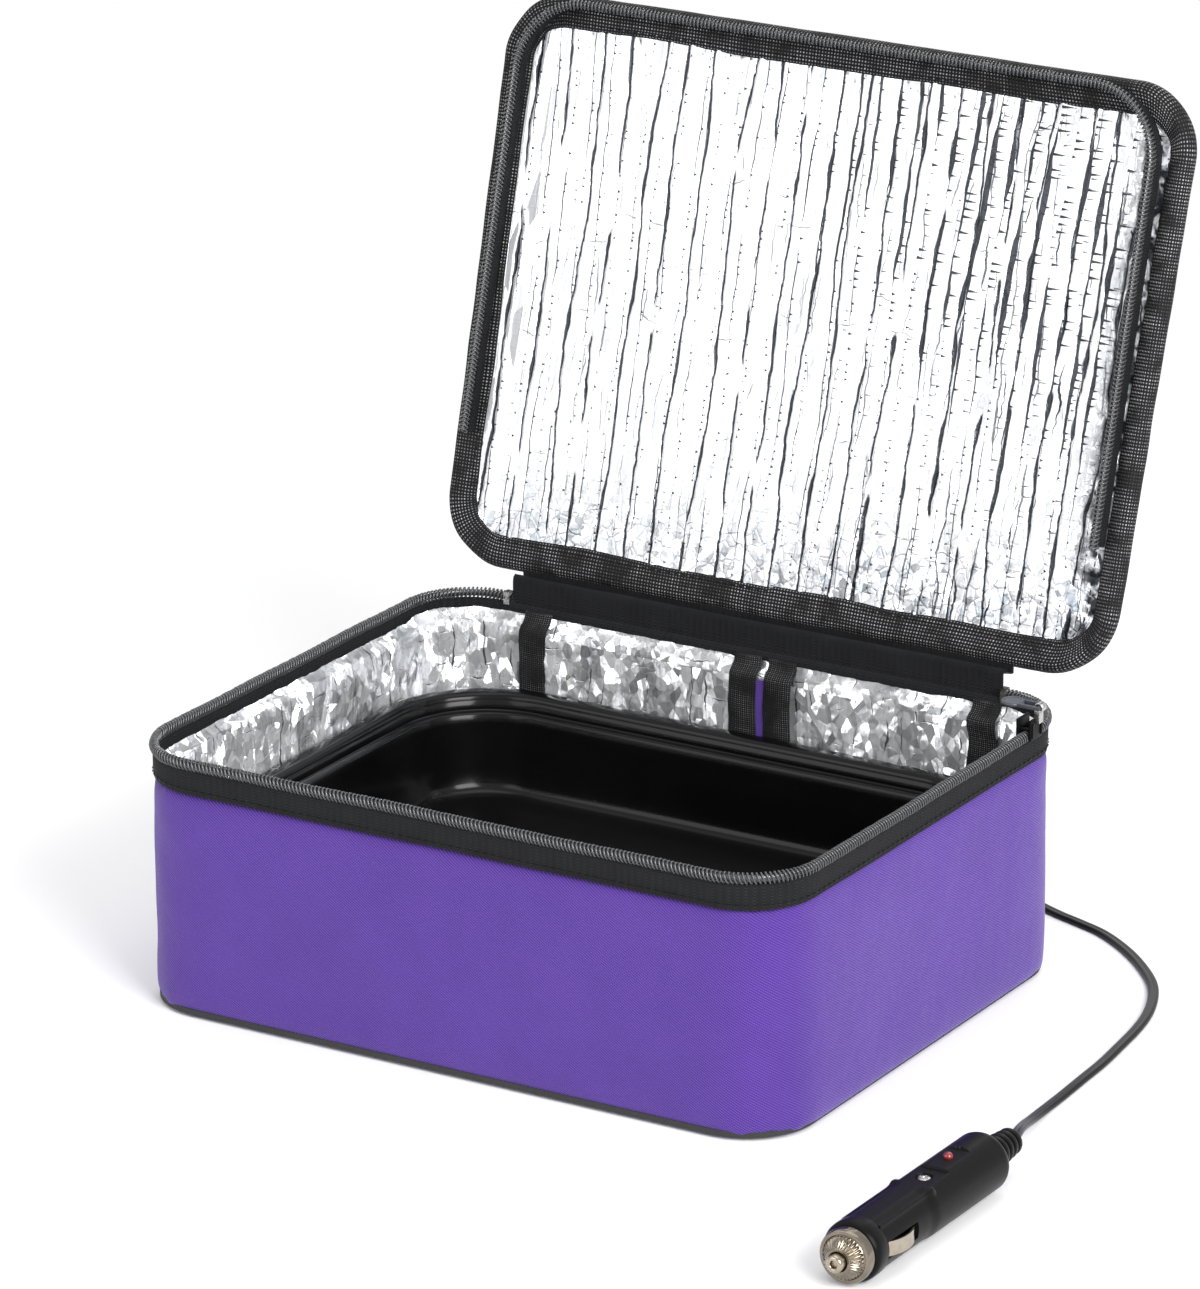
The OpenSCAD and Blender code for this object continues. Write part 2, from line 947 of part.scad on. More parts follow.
module inlet_block() {
    color(black)
        plate_pose()
            difference() {
                translate([-inlet_w / 2, notch_y, foot_h])
                    cube([inlet_w, inlet_d, inlet_h]);
                for (x = [-1, 1])
                    translate([x * contact_x, contact_y, foot_h - past])
                        cylinder(h = past + contact_grip, r = contact_r + pin_fit);
            }
}

module inlet_pins() {
    color(nickel)
        plate_pose()
            for (x = [-1, 1])
                translate([x * contact_x, contact_y, foot_h - contact_drop])
                    cylinder(h = contact_drop + contact_grip, r = contact_r);
}

// ---- food tray ---------------------------------------------------------------

module tray_plate(inset, r, z, t) {
    $fn = facets;
    translate([0, 0, z])
        linear_extrude(t)
            rounded(tray_w - 2 * inset, tray_d - 2 * inset, r);
}

module food_tray() {
    wall_top = tray_h - tray_t;
    step_z = tray_h - tray_step;
    color(black)
        translate([0, 0, tray_z])
            difference() {
                union() {
                    tray_plate(0, tray_r, wall_top - tray_lip, tray_lip + tray_t);
                    hull() {
                        tray_plate(flange_w, tray_r - flange_w, wall_top, thin);
                        tray_plate(flange_w + tray_draft, tray_r - flange_w - tray_draft, step_z, thin);
                    }
                    hull() {
                        tray_plate(tray_in_top, tray_r - tray_in_top, step_z, thin);
                        tray_plate(tray_in_side, tray_foot_r, tray_foot_h, thin);
                        tray_plate(tray_in_floor, tray_foot_r, 0, thin);
                    }
                }
                hull() {
                    tray_plate(flange_w - tray_curl + tray_t, tray_r - flange_w, tray_h + thin, thin);
                    tray_plate(
                        flange_w + tray_draft + tray_t, tray_r - flange_w - tray_curl, step_z + tray_t, thin
                    );
                }
                hull() {
                    tray_plate(
                        tray_in_top + tray_t, tray_r - tray_in_top - tray_t, step_z + tray_t + thin, thin
                    );
                    tray_plate(tray_in_side + tray_t, tray_foot_r - tray_t, tray_foot_h + tray_t, thin);
                    tray_plate(tray_in_floor + tray_t, tray_foot_r - tray_t, tray_t, thin);
                }
                difference() {
                    tray_plate(-past, tray_r + past, wall_top - tray_curl, tray_curl);
                    tray_plate(tray_t, tray_r - tray_t, wall_top - tray_curl - thin, tray_curl + 2 * thin);
                }
            }
}

// ---- lead ----------------------------------------------------------------------

module lead_socket() {
    color(black)
        difference() {
            translate([-9, notch_y + clear, floor_z])
                cube([18, panel_y - notch_y - clear, foot_h - 0.4]);
            for (x = [-1, 1])
                translate([x * contact_x, contact_y, floor_z + foot_h - contact_drop - 0.6])
                    cylinder(h = contact_drop + past, r = contact_r + pin_fit);
        }
}

module lead_gland() {
    color(black)
        translate([0, panel_y, gland_z])
            rotate([-90, 0, 0]) {
                cylinder(h = wall_t, r = gland_r);
                translate([0, 0, wall_t])
                    cylinder(h = gland_out, r = gland_flange_r);
                translate([0, 0, wall_t + gland_out])
                    cylinder(h = gland_tip, r1 = gland_r, r2 = cord_w / 2 + 0.6);
            }
}

module cord_rear() {
    color(black)
        flat_tube(smooth(rear_route, 2), 8, [0, 1, 0], [0, 1, 0]);
}

module cord_coil() {
    color(black)
        flat_tube(coil_path, 6, [0, 1, 0], [1, 0, 0]);
}

// Band round the coil's turns, on the side away from both ends
module coil_tie() {
    inner_r = coil_r - coil_pitch * coil_turns / 2 - cord_w / 2 - clear - tie_t;
    outer_r = coil_r + cord_w / 2 + clear + tie_t;
    top = coil_z + coil_layer + cord_t / 2 + clear;
    color(charcoal)
        translate([coil_mid[0], coil_mid[1] - outer_r, 0])
            translate([-tie_w / 2, 0, 0])
                difference() {
                    cube([tie_w, outer_r - inner_r, top + tie_t]);
                    translate([-past, tie_t, tie_t])
                        cube([tie_w + 2 * past, outer_r - inner_r - 2 * tie_t, top - tie_t]);
                }
}

module cord_front() {
    color(black)
        flat_tube(smooth(front_route, 2), 8, [1, 0, 0], [0, -1, 0]);
}

// ---- plug ----------------------------------------------------------------------

module plug_outside() {
    turned([
        [0, 0], [0, grip_r - 3], [0.9, grip_r - 1], [3, grip_r], [grip_end, grip_r],
        [taper_end, nose_r], [shell_end, nose_r], [shell_end, 0]
    ]);
}

module plug_inside() {
    along_x(plug_t, shell_end + past, bore_r);
    along_x(-past, plug_t + past, 3.4);
}

module plug_slots() {
    for (side = [-1, 1])
        translate([slot_x0, side > 0 ? cavity_r - leaf_root : -nose_r - past, -leaf_w / 2 - clear])
            cube([slot_x1 - slot_x0, plug_t + leaf_root + past, leaf_w + 2 * clear]);
}

module plug_neck() {
    difference() {
        along_x(shell_end - past, shell_end + neck_l, neck_r);
        along_x(shell_end - 2 * past, shell_end + neck_l + past, bore_r);
    }
}

module plug_half(side) {
    intersection() {
        difference() {
            union() {
                difference() {
                    plug_outside();
                    plug_inside();
                }
                plug_neck();
                translate([screw_x, 0, side > 0 ? 0 : -cavity_r])
                    cylinder(h = cavity_r, r = post_r);
            }
            plug_slots();
            translate([screw_x, 0, -cavity_r])
                cylinder(h = 2 * cavity_r, r = plug_screw_r + pin_fit);
            translate([screw_x, 0, 5])
                cylinder(h = grip_r, r = plug_screw_head_r + 1, $fn = 6);
            translate([screw_x, 0, 3.4])
                cylinder(h = 4, r = plug_screw_head_r + snug);
            translate([flat_x0, -grip_r, flat_z])
                cube([flat_x1 - flat_x0, 2 * grip_r, grip_r]);
            translate([lens_x, 0, 0])
                cylinder(h = grip_r, r = lens_r + snug);
        }
        translate([-past, -2 * grip_r, side > 0 ? 0 : -2 * grip_r])
            cube([shell_end + 10, 4 * grip_r, 2 * grip_r]);
    }
}

module plug_shell_top() {
    color(black)
        plug_pose()
            plug_half(1);
}

module plug_shell_bottom() {
    color(black)
        plug_pose()
            plug_half(-1);
}

module plug_strain_relief() {
    core_r = 2.8;
    rib_r = 4.9;
    color(black)
        plug_pose() {
            turned([
                [-relief_l, 0], [-relief_l, core_r + 0.4], [0, core_r + 1],
                [0, 3.3], [plug_t, 3.3], [plug_t, 5.2], [plug_t + 2, 5.2], [plug_t + 2, 0]
            ]);
            for (i = [0 : 4])
                translate([-relief_l + 0.5 + i * 3.4, 0, 0])
                    along_x(0, 2, rib_r - 0.5 + i * 0.2);
        }
}

module plug_collar() {
    color(black)
        plug_pose()
            turned([
                [shell_end + snug / 2, neck_r + snug], [shell_end + snug / 2, grip_r],
                [collar_end - 2, grip_r + 0.1], [collar_end, grip_r - 0.9],
                [collar_end, neck_r + snug]
            ]);
}

module nose_ring() {
    color(nickel)
        plug_pose()
            turned([
                [shell_end + neck_l + snug, flange_r + 0.6], [shell_end + neck_l + snug, neck_r],
                [collar_end + snug, neck_r], [collar_end + snug, 9.2], [ring_end - 1, 9.2],
                [ring_end, 8.4], [ring_end, 7.4], [ring_end + 1.5, 6.8],
                [cone_end, pin_r + 1.4], [cone_end, pin_r + pin_fit],
                [flange_at + flange_t + snug, pin_r + pin_fit],
                [flange_at + flange_t + snug, flange_r + 0.6]
            ]);
}

module centre_pin() {
    color(nickel)
        plug_pose()
            turned([
                [flange_at, 0], [flange_at, flange_r], [flange_at + flange_t, flange_r],
                [flange_at + flange_t, pin_r], [pin_end - 1.2, pin_r], [pin_end, pin_r - 1.2],
                [pin_end, 0]
            ]);
}

module pin_spring() {
    color(nickel)
        plug_pose()
            difference() {
                along_x(fuse_x + fuse_l + clear, flange_at, spring_r);
                along_x(fuse_x + fuse_l, flange_at + past, spring_r - 0.8);
            }
}

module plug_fuse() {
    color(silver)
        plug_pose()
            along_x(fuse_x, fuse_x + fuse_l, fuse_r);
}

// Round lens with a foot that rests against the inside of the shell
module indicator_lens() {
    foot_r = lens_r + lens_foot;
    seat = sqrt(bore_r * bore_r - foot_r * foot_r) - snug;
    dome = flat_z + lens_rise;
    color([0.65, 0.03, 0.05])
        plug_pose()
            translate([lens_x, 0, 0]) {
                translate([0, 0, seat])
                    cylinder(h = dome - seat, r = lens_r);
                translate([0, 0, dome])
                    intersection() {
                        sphere(r = lens_r);
                        translate([-lens_r, -lens_r, 0])
                            cube(2 * lens_r);
                    }
                translate([0, 0, seat - lens_foot])
                    cylinder(h = lens_foot, r = foot_r);
            }
}

module plug_screw() {
    color(nickel)
        plug_pose()
            translate([screw_x, 0, 0]) {
                translate([0, 0, -5])
                    cylinder(h = 8.4, r = plug_screw_r);
                difference() {
                    translate([0, 0, 3.4])
                        cylinder(h = 2, r = plug_screw_head_r);
                    for (a = [0, 90])
                        rotate([0, 0, a])
                            translate([-1.6, -0.35, 4.6])
                                cube([3.2, 0.7, 1]);
                }
            }
}

// Bowed leaf that stands out of its slot by leaf_out
module contact_leaf(side) {
    span = slot_x1 - slot_x0 - 2 * clear;
    bow_r = (span * span / 4 + leaf_rise * leaf_rise) / (2 * leaf_rise);
    half_a = asin(span / 2 / bow_r);
    color(nickel)
        plug_pose()
            translate([(slot_x0 + slot_x1) / 2, side * (nose_r + leaf_out - bow_r), -leaf_w / 2])
                rotate([0, 0, (side > 0 ? 90 : -90) - half_a])
                    rotate_extrude(angle = 2 * half_a)
                        translate([bow_r - leaf_t, 0])
                            square([leaf_t, leaf_w]);
}

// ---- the object ------------------------------------------------------------------

base_cover();
base_board();
floor_pad();
floor_foil();
outer_shell();
front_pad();
back_pad();
side_pad(-1);  // left_pad
side_pad(1);  // right_pad
front_foil();
side_foil(-1);  // left_foil
side_foil(1);  // right_foil
back_lining();
back_panel(panel_left_x, slit_x - slit_w / 2);  // back_panel_left
back_panel(slit_x + slit_w / 2, panel_right_x);  // back_panel_right
panel_binding(panel_left_x, slit_x - slit_w / 2);  // panel_binding_left
panel_binding(slit_x + slit_w / 2, panel_right_x);  // panel_binding_right
rim_tape();
zip_chain_lower();
zip_stops();
bag_hinge_tape();
zip_slider();
zip_pull();
lid_foil();
lid_pad();
lid_cover();
lid_binding();
lid_zip_tape();
zip_chain_upper();
lid_hinge_tape();
plate_frame();
hot_plate();
heater_mat();
thermostat();
thermal_fuse();
insulation_mat();
bottom_cover();
cover_screws();
foot_pads();
inlet_block();
inlet_pins();
food_tray();
lead_socket();
lead_gland();
cord_rear();
cord_coil();
coil_tie();
cord_front();
plug_strain_relief();
plug_shell_top();
plug_shell_bottom();
plug_collar();
nose_ring();
centre_pin();
pin_spring();
plug_fuse();
indicator_lens();
plug_screw();
contact_leaf(-1);  // contact_left
contact_leaf(1);  // contact_right
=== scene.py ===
import json
import math

import bmesh
import bpy
import numpy as np
from mathutils import Matrix, Vector, noise


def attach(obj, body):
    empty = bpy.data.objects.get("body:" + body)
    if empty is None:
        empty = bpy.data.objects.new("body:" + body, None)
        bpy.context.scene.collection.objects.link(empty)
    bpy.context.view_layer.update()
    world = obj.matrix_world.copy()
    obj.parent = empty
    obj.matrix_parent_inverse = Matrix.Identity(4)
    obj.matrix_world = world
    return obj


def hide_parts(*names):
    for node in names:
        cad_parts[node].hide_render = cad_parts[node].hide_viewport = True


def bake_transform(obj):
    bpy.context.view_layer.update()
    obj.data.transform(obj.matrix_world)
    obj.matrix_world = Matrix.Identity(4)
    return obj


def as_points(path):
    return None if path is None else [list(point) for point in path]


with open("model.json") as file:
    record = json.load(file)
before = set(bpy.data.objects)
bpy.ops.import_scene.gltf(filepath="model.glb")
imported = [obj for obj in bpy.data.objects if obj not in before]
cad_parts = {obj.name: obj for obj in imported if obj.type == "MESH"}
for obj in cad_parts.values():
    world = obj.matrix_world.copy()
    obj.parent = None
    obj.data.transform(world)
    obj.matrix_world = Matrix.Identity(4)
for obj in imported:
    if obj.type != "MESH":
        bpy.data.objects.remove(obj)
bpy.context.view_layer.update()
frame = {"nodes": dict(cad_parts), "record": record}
cadNodes = frame["nodes"]
mm = 0.001
print("frame loaded,", len(cadNodes), "nodes")


# camera and lamps

view = {
    "azimuth": 31.0,
    "elevation": 19.2,
    "place": (1.3233, -2.2041, 1.0182),
    "focalPixels": 8000,
    "frameHeight": 1289,
    "sensor": 36.0,
}

light = {
    "world": 0.68,
    "key": 11.0, "keySize": 1.4, "keyAt": (-0.7, -1.8, 0.95),
    "fill": 62.0, "fillSize": 1.3, "fillAt": (1.9, -0.95, 1.15),
    "top": 9.0, "topSize": 1.5, "topAt": (0.1, 0.25, 2.1),
    "rim": 5.0, "rimSize": 1.0, "rimAt": (-0.6, 1.7, 1.2),
    "aim": (0.02, 0.05, 0.12),
}


def makeCamera():
    azimuth, elevation = math.radians(view["azimuth"]), math.radians(view["elevation"])
    back = Vector((math.sin(azimuth) * math.cos(elevation),
                   -math.cos(azimuth) * math.cos(elevation), math.sin(elevation)))
    right = Vector((math.cos(azimuth), math.sin(azimuth), 0))
    up = back.cross(right)
    data = bpy.data.cameras.new("camera")
    data.sensor_fit = "VERTICAL"
    data.sensor_height = view["sensor"]
    data.lens = view["focalPixels"] * view["sensor"] / view["frameHeight"]
    data.clip_end = 30
    camera = bpy.data.objects.new("camera", data)
    camera.matrix_world = Matrix.Translation(view["place"]) @ Matrix(
        (right, up, back)).transposed().to_4x4()
    bpy.context.scene.collection.objects.link(camera)
    bpy.context.scene.camera = camera


def softbox(name, power, size, place):
    data = bpy.data.lights.new(name, "AREA")
    data.shape = "SQUARE"
    data.size = size
    data.energy = power
    lamp = bpy.data.objects.new(name, data)
    toward = Vector(light["aim"]) - Vector(place)
    lamp.matrix_world = Matrix.Translation(place) @ toward.to_track_quat("-Z", "Y").to_matrix().to_4x4()
    bpy.context.scene.collection.objects.link(lamp)


makeCamera()
for part in ("key", "fill", "top", "rim"):
    softbox(part, light[part], light[part + "Size"], light[part + "At"])
bpy.context.scene.view_settings.view_transform = "Standard"


# shader maths

class Wire:  # one shader socket that takes part in expressions
    def __init__(self, paint, socket):
        self.paint, self.socket = paint, socket

    def math(self, operation, other=0.0, flip=False):
        return self.paint.node("ShaderNodeMath", {"operation": operation},
                               (other, self) if flip else (self, other))

    def __add__(self, other):
        return self.math("ADD", other)

    def __sub__(self, other):
        return self.math("SUBTRACT", other)

    def __rsub__(self, other):
        return self.math("SUBTRACT", other, True)

    def __mul__(self, other):
        return self.math("MULTIPLY", other)

    def __truediv__(self, other):
        return self.math("DIVIDE", other)

    def __pow__(self, other):
        return self.math("POWER", other)

    def __gt__(self, other):
        return self.math("GREATER_THAN", other)

    __radd__, __rmul__ = __add__, __mul__

    def wave(self, pitch):  # 0 to 1 and back once a pitch
        return (self * (2 * math.pi / pitch)).math("SINE") * 0.5 + 0.5

    def over(self, other):  # the larger of the two
        return self.math("MAXIMUM", other)

    def clamp(self):
        return self.math("MINIMUM", 1.0).over(0.0)

    def part(self, name):  # x, y or z of a vector
        split = self.paint.node("ShaderNodeSeparateXYZ", {}, (self,))
        return Wire(self.paint, split.socket.node.outputs["XYZ".index(name.upper())])


class Paint:  # one material, its shader and its nodes
    def __init__(self, name, colour=(0.5, 0.5, 0.5), roughness=0.5, metallic=0.0, **constants):
        self.material = bpy.data.materials.new(name)
        self.material.use_nodes = True
        self.tree = self.material.node_tree
        self.tree.nodes.clear()
        output = self.tree.nodes.new("ShaderNodeOutputMaterial")
        self.shader = self.tree.nodes.new("ShaderNodeBsdfPrincipled")
        self.tree.links.new(self.shader.outputs[0], output.inputs[0])
        self.feed("Base Color", (*colour, 1.0))
        self.feed("Roughness", roughness)
        self.feed("Metallic", metallic)
        for key, value in constants.items():
            self.feed(key.replace("_", " "), value)

    def node(self, kind, settings=None, values=(), out=0):
        made = self.tree.nodes.new(kind)
        for key, value in (settings or {}).items():
            setattr(made, key, value)
        pairs = values.items() if isinstance(values, dict) else enumerate(values)
        for key, value in pairs:
            self.put(made.inputs[key], value)
        return Wire(self, made.outputs[out])

    def put(self, socket, value):
        if isinstance(value, Wire):
            self.tree.links.new(value.socket, socket)
        else:
            socket.default_value = value

    def feed(self, socket, value):
        self.put(self.shader.inputs[socket], value)

    def place(self):
        return self.node("ShaderNodeTexCoord", out=3)

    def flow(self):  # metres along and across the piece
        spot = self.node("ShaderNodeUVMap", {"uv_map": "flow"})
        return spot.part("x"), spot.part("y")

    def surface(self, colour, roughness, normal):
        self.feed("Base Color", colour)
        self.feed("Roughness", roughness)
        self.feed("Normal", normal)
        return self

    def attribute(self, name):
        return self.node("ShaderNodeAttribute", {"attribute_name": name}, out=2)

    def vector(self, x, y, z):
        return self.node("ShaderNodeCombineXYZ", {}, (x, y, z))

    def stretch(self, vector, scale, turn=0.0):
        return self.node("ShaderNodeMapping", {},
                         {"Vector": vector, "Scale": scale, "Rotation": (0, 0, math.radians(turn))})

    def noise(self, vector, scale, detail=3.0, roughness=0.5, distortion=0.0):
        return self.node("ShaderNodeTexNoise", {}, {
            "Vector": vector, "Scale": scale, "Detail": detail, "Roughness": roughness,
            "Distortion": distortion})

    def cracks(self, vector, scale):  # how far the nearest cell's edge is
        return self.node("ShaderNodeTexVoronoi", {"feature": "DISTANCE_TO_EDGE"}, {
            "Vector": vector, "Scale": scale})

    def facets(self, vector, scale):
        # a height that tilts each small cell its own way, in metres
        cell = self.node("ShaderNodeTexVoronoi", {}, {"Vector": vector, "Scale": scale})
        nodes = cell.socket.node.outputs
        away = self.node("ShaderNodeVectorMath", {"operation": "SUBTRACT"},
                         (vector, Wire(self, nodes["Position"])))
        tilt = self.node("ShaderNodeVectorMath", {"operation": "SUBTRACT"},
                         (Wire(self, nodes["Color"]), (0.5, 0.5, 0.5)))
        return self.node("ShaderNodeVectorMath", {"operation": "DOT_PRODUCT"}, (away, tilt), out=1)

    def cells(self, vector, scale):  # 0 to 1, one value to a cell
        return self.node("ShaderNodeTexVoronoi", {}, {"Vector": vector, "Scale": scale}, out=1).part("x")

    def span(self, value, low, high, toLow=0.0, toHigh=1.0):
        return self.node("ShaderNodeMapRange", {}, (value, low, high, toLow, toHigh))

    def mix(self, factor, first, second):
        return self.node("ShaderNodeMix", {"data_type": "RGBA"}, {
            0: factor, 6: first if isinstance(first, Wire) else (*first, 1.0),
            7: second if isinstance(second, Wire) else (*second, 1.0)}, out=2)

    def bump(self, height, distance, strength=1.0, under=None):
        values = {"Height": height, "Distance": distance, "Strength": strength}
        if under is not None:
            values["Normal"] = under
        return self.node("ShaderNodeBump", {}, values)


# meshes

def wobble(x, y=0.0, z=0.0):
    # smooth noise of -1 to 1
    return noise.noise(Vector((x, y, z)))


def meshPiece(name, vertices, faces, uvs=None, sharp=35.0):
    mesh = bpy.data.meshes.new(name)
    mesh.from_pydata([tuple(c * mm for c in v) for v in vertices], [], faces)
    if uvs is not None:
        layer = mesh.uv_layers.new(name="flow")
        layer.data.foreach_set("uv", np.array(uvs, dtype=np.float32).ravel())
    mesh.polygons.foreach_set("use_smooth", [True] * len(mesh.polygons))
    mesh.set_sharp_from_angle(angle=math.radians(sharp))
    piece = bpy.data.objects.new(name, mesh)
    bpy.context.scene.collection.objects.link(piece)
    return piece


def outline(width, depth, radius, arc=10, alongX=24, alongY=20):
    # a rounded rectangle, anticlockwise
    halfX, halfY = width / 2 - radius, depth / 2 - radius
    corners = ((halfX, -halfY, -90), (halfX, halfY, 0), (-halfX, halfY, 90), (-halfX, -halfY, 180))
    points = []
    for i, (x, y, start) in enumerate(corners):
        for k in range(arc + 1):
            angle = math.radians(start + 90 * k / arc)
            points.append((x + radius * math.cos(angle), y + radius * math.sin(angle)))
        nextX, nextY, _ = corners[(i + 1) % 4]
        angle = math.radians(start + 90)
        end = (nextX + radius * math.cos(angle), nextY + radius * math.sin(angle))
        steps = alongY if i % 2 == 0 else alongX
        a = points[-1]
        points += [(a[0] + (end[0] - a[0]) * k / steps, a[1] + (end[1] - a[1]) * k / steps)
                   for k in range(1, steps)]
    return points


def loft(name, rings, capStart=False, capEnd=False, tube=False, sharp=35.0):
    # rings of equal length, joined one to the next: u runs round a ring and v from ring to ring
    count, size = len(rings), len(rings[0])
    vertices = [p for ring in rings for p in ring]
    across = np.array(rings, float)
    step = np.linalg.norm(np.diff(np.concatenate([across, across[:, :1]], 1), axis=1), axis=2)
    u = np.concatenate([np.zeros((count, 1)), np.cumsum(step, 1)], 1).mean(0) * mm
    jump = np.linalg.norm(np.diff(np.concatenate([across, across[:1]], 0), axis=0), axis=2).mean(1)
    v = np.concatenate([[0], np.cumsum(jump)]) * mm
    faces, uvs = [], []
    for i in range(count if tube else count - 1):
        for k in range(size):
            a, b = i * size + k, i * size + (k + 1) % size
            c, d = (i + 1) % count * size + (k + 1) % size, (i + 1) % count * size + k
            faces.append((a, b, c, d))
            uvs += [(u[k], v[i]), (u[k + 1], v[i]), (u[k + 1], v[i + 1]), (u[k], v[i + 1])]
    for cap, first, flip in ((capStart, 0, True), (capEnd, (count - 1) * size, False)):
        if cap:
            face = [first + k for k in range(size)]
            faces.append(tuple(reversed(face)) if flip else tuple(face))
            uvs += [(vertices[n][0] * mm, vertices[n][1] * mm) for n in faces[-1]]
    return meshPiece(name, vertices, faces, uvs, sharp)


def plateRings(shape, profile, **density):
    # profile holds (inset, z) pairs, and shape holds width, depth and radius
    return [[(x, y, z) for x, y in outline(shape[0] - 2 * inset, shape[1] - 2 * inset,
                                           max(shape[2] - inset, 0.4), **density)]
            for inset, z in profile]


def spin(name, profile, steps, sharp=40.0, tube=False):
    # profile holds (x, r) pairs along the +X axis, first and last on the axis unless it is a tube
    rings = [[(x, r * math.cos(2 * math.pi * k / steps), r * math.sin(2 * math.pi * k / steps))
              for k in range(steps)] for x, r in profile]
    return loft(name, rings, not tube, not tube, tube, sharp)


def join(name, pieces):
    bpy.ops.object.select_all(action="DESELECT")
    for piece in pieces:
        piece.select_set(True)
    bpy.context.view_layer.objects.active = pieces[0]
    bpy.ops.object.join()
    pieces[0].name = name
    return pieces[0]


def dress(piece, paint, body, slotName, *replaced):
    # paint names the finish, and replaced the CAD nodes that the piece stands for
    piece.data.materials.clear()
    piece.data.materials.append(finish[paint].material)
    if replaced:
        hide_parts(*replaced)
    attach(piece, body)
    return piece


def plain(piece):
    # the piece with its modifiers made real
    bpy.context.view_layer.update()
    graph = bpy.context.evaluated_depsgraph_get()
    mesh = bpy.data.meshes.new_from_object(piece.evaluated_get(graph))
    piece.modifiers.clear()
    piece.data = mesh
    return piece


# cloth, tape and film

twill = {
    "rib": 0.00095, "ribLean": 0.62, "cross": 0.0007, "crossLean": 0.2, "relief": 0.00025,
    "cloud": 38.0, "fuzz": 2600.0, "slack": 60.0, "slackDepth": 0.0012,
}


def twillFabric(name, base, deep):
    paint = Paint(name, base, 0.85, Specular_IOR_Level=0.15, Sheen_Weight=0.45, Sheen_Roughness=0.4,
                  Sheen_Tint=(0.8, 0.75, 1.0, 1.0))
    u, v = paint.flow()
    ribs = (v + u * twill["ribLean"]).wave(twill["rib"])
    weave = ribs * 0.75 + (u - v * twill["crossLean"]).wave(twill["cross"]) * 0.25
    cloud = paint.noise(paint.place(), twill["cloud"], 4.0, 0.6)
    shade = (weave * 0.95 + (cloud - 0.5) * 0.25).clamp()
    fuzz = paint.noise(paint.place(), twill["fuzz"], 2.0)
    slack = paint.bump(paint.noise(paint.place(), twill["slack"], 3.0), twill["slackDepth"], 0.5)
    return paint.surface(paint.mix(shade, deep, base), paint.span(fuzz, 0.3, 0.7, 0.72, 0.95),
                         paint.bump(weave + fuzz * 0.3, twill["relief"], 0.7, slack))


tapeWeave = {"base": (0.007, 0.007, 0.0075), "glintSharpness": 2.6, "frayed": 120.0, "creased": 90.0,
             "creaseDepth": 0.0009, "relief": 0.00028}


def wovenTape(name, glintColour, pitch):
    base = tapeWeave["base"]
    paint = Paint(name, base, 0.7, Specular_IOR_Level=0.15)
    u, v = paint.flow()
    weave = u.wave(pitch) * v.wave(pitch * 0.9)
    checker = u.wave(pitch * 2) * v.wave(pitch * 1.8)
    frayed = paint.noise(paint.place(), tapeWeave["frayed"], 3.0)
    # painted highlight: thread crossings painted towards a light glint colour
    paintedGlint = weave ** tapeWeave["glintSharpness"] * (checker * 0.7 + 0.45) * paint.span(frayed, 0.38, 0.62, 0.15, 1.3)
    crease = paint.bump(paint.noise(paint.place(), tapeWeave["creased"], 4.0), tapeWeave["creaseDepth"], 0.55)
    return paint.surface(paint.mix(paintedGlint.clamp(), base, glintColour), paint.span(frayed, 0.3, 0.7, 0.6, 0.8),
                         paint.bump(weave + checker * 0.4, tapeWeave["relief"], 0.8, crease))


herring = {"zig": 0.0052, "rise": 0.0046, "row": 0.0011, "wear": 160.0, "relief": 0.00025,
           "dark": (0.004, 0.004, 0.0045), "light": (0.034, 0.035, 0.038)}


def herringboneTape(name):
    paint = Paint(name, (0.006, 0.006, 0.0065), 0.8, Specular_IOR_Level=0.12)
    u, v = paint.flow()
    zig = (u.wave(herring["zig"]) - 0.5).math("ABSOLUTE")
    rows = (v + zig * herring["rise"]).wave(herring["row"])
    wear = paint.noise(paint.place(), herring["wear"], 4.0)
    # the herringbone rows are the weave's pattern, painted lighter towards the light colour as thread
    # highlights
    tone = paint.mix((rows * (wear + 0.1)).clamp(), herring["dark"], herring["light"])
    return paint.surface(tone, paint.span(wear, 0.3, 0.7, 0.6, 0.82),
                         paint.bump(rows, herring["relief"], 0.8))


# broken lines that darken the film as painted crease shade: pitch, width, reach along the line, chance and
# seed
creases = {
    "fine": (0.0068, 0.0006, 0.03, 0.52, 3.0), "few": (0.011, 0.0004, 0.012, 0.56, 21.0),
    "thin": (0.0052, 0.00035, 0.018, 0.52, 31.0), "upright": (0.0060, 0.0005, 0.012, 0.51, 2.0),
    "level": (0.0058, 0.0004, 0.007, 0.53, 9.0), "soft": 0.00016,
}


def creaseLines(paint, along, across, kind):
    # 0 to 1: broken lines, one to a pitch, that wander, swell and taper; a mask for painted crease shade
    pitch, wide, reach, chance, seed = creases[kind]
    place = paint.vector(along * 18, across * 7, seed)
    line = across / pitch + (paint.noise(place, 1.0, 5.0, 0.62) - 0.5) * 2.6
    cell = line.math("FLOOR")
    gap = (line - cell - 0.5).math("ABSOLUTE") * pitch
    here = paint.noise(paint.vector(along / reach, cell * 3.7, seed + 5.5), 1.0, 2.0)
    width = paint.span(here, chance, chance + 0.2, 0.0, wide)
    return ((width - gap) / creases["soft"]).clamp()


lidCrease = {"seed": 8.0, "pitch": 0.0074, "reach": 0.05, "chance": 0.42, "wide": 0.0013,
             "tick": 0.0027, "tickLong": 0.0062, "tickThick": 0.00062}
sideCrease = {"seed": 23.0, "pitch": 0.0125, "reach": 0.03, "chance": 0.46, "wide": 0.0005,
              "tick": 0.0036, "tickLong": 0.004, "tickThick": 0.0004}


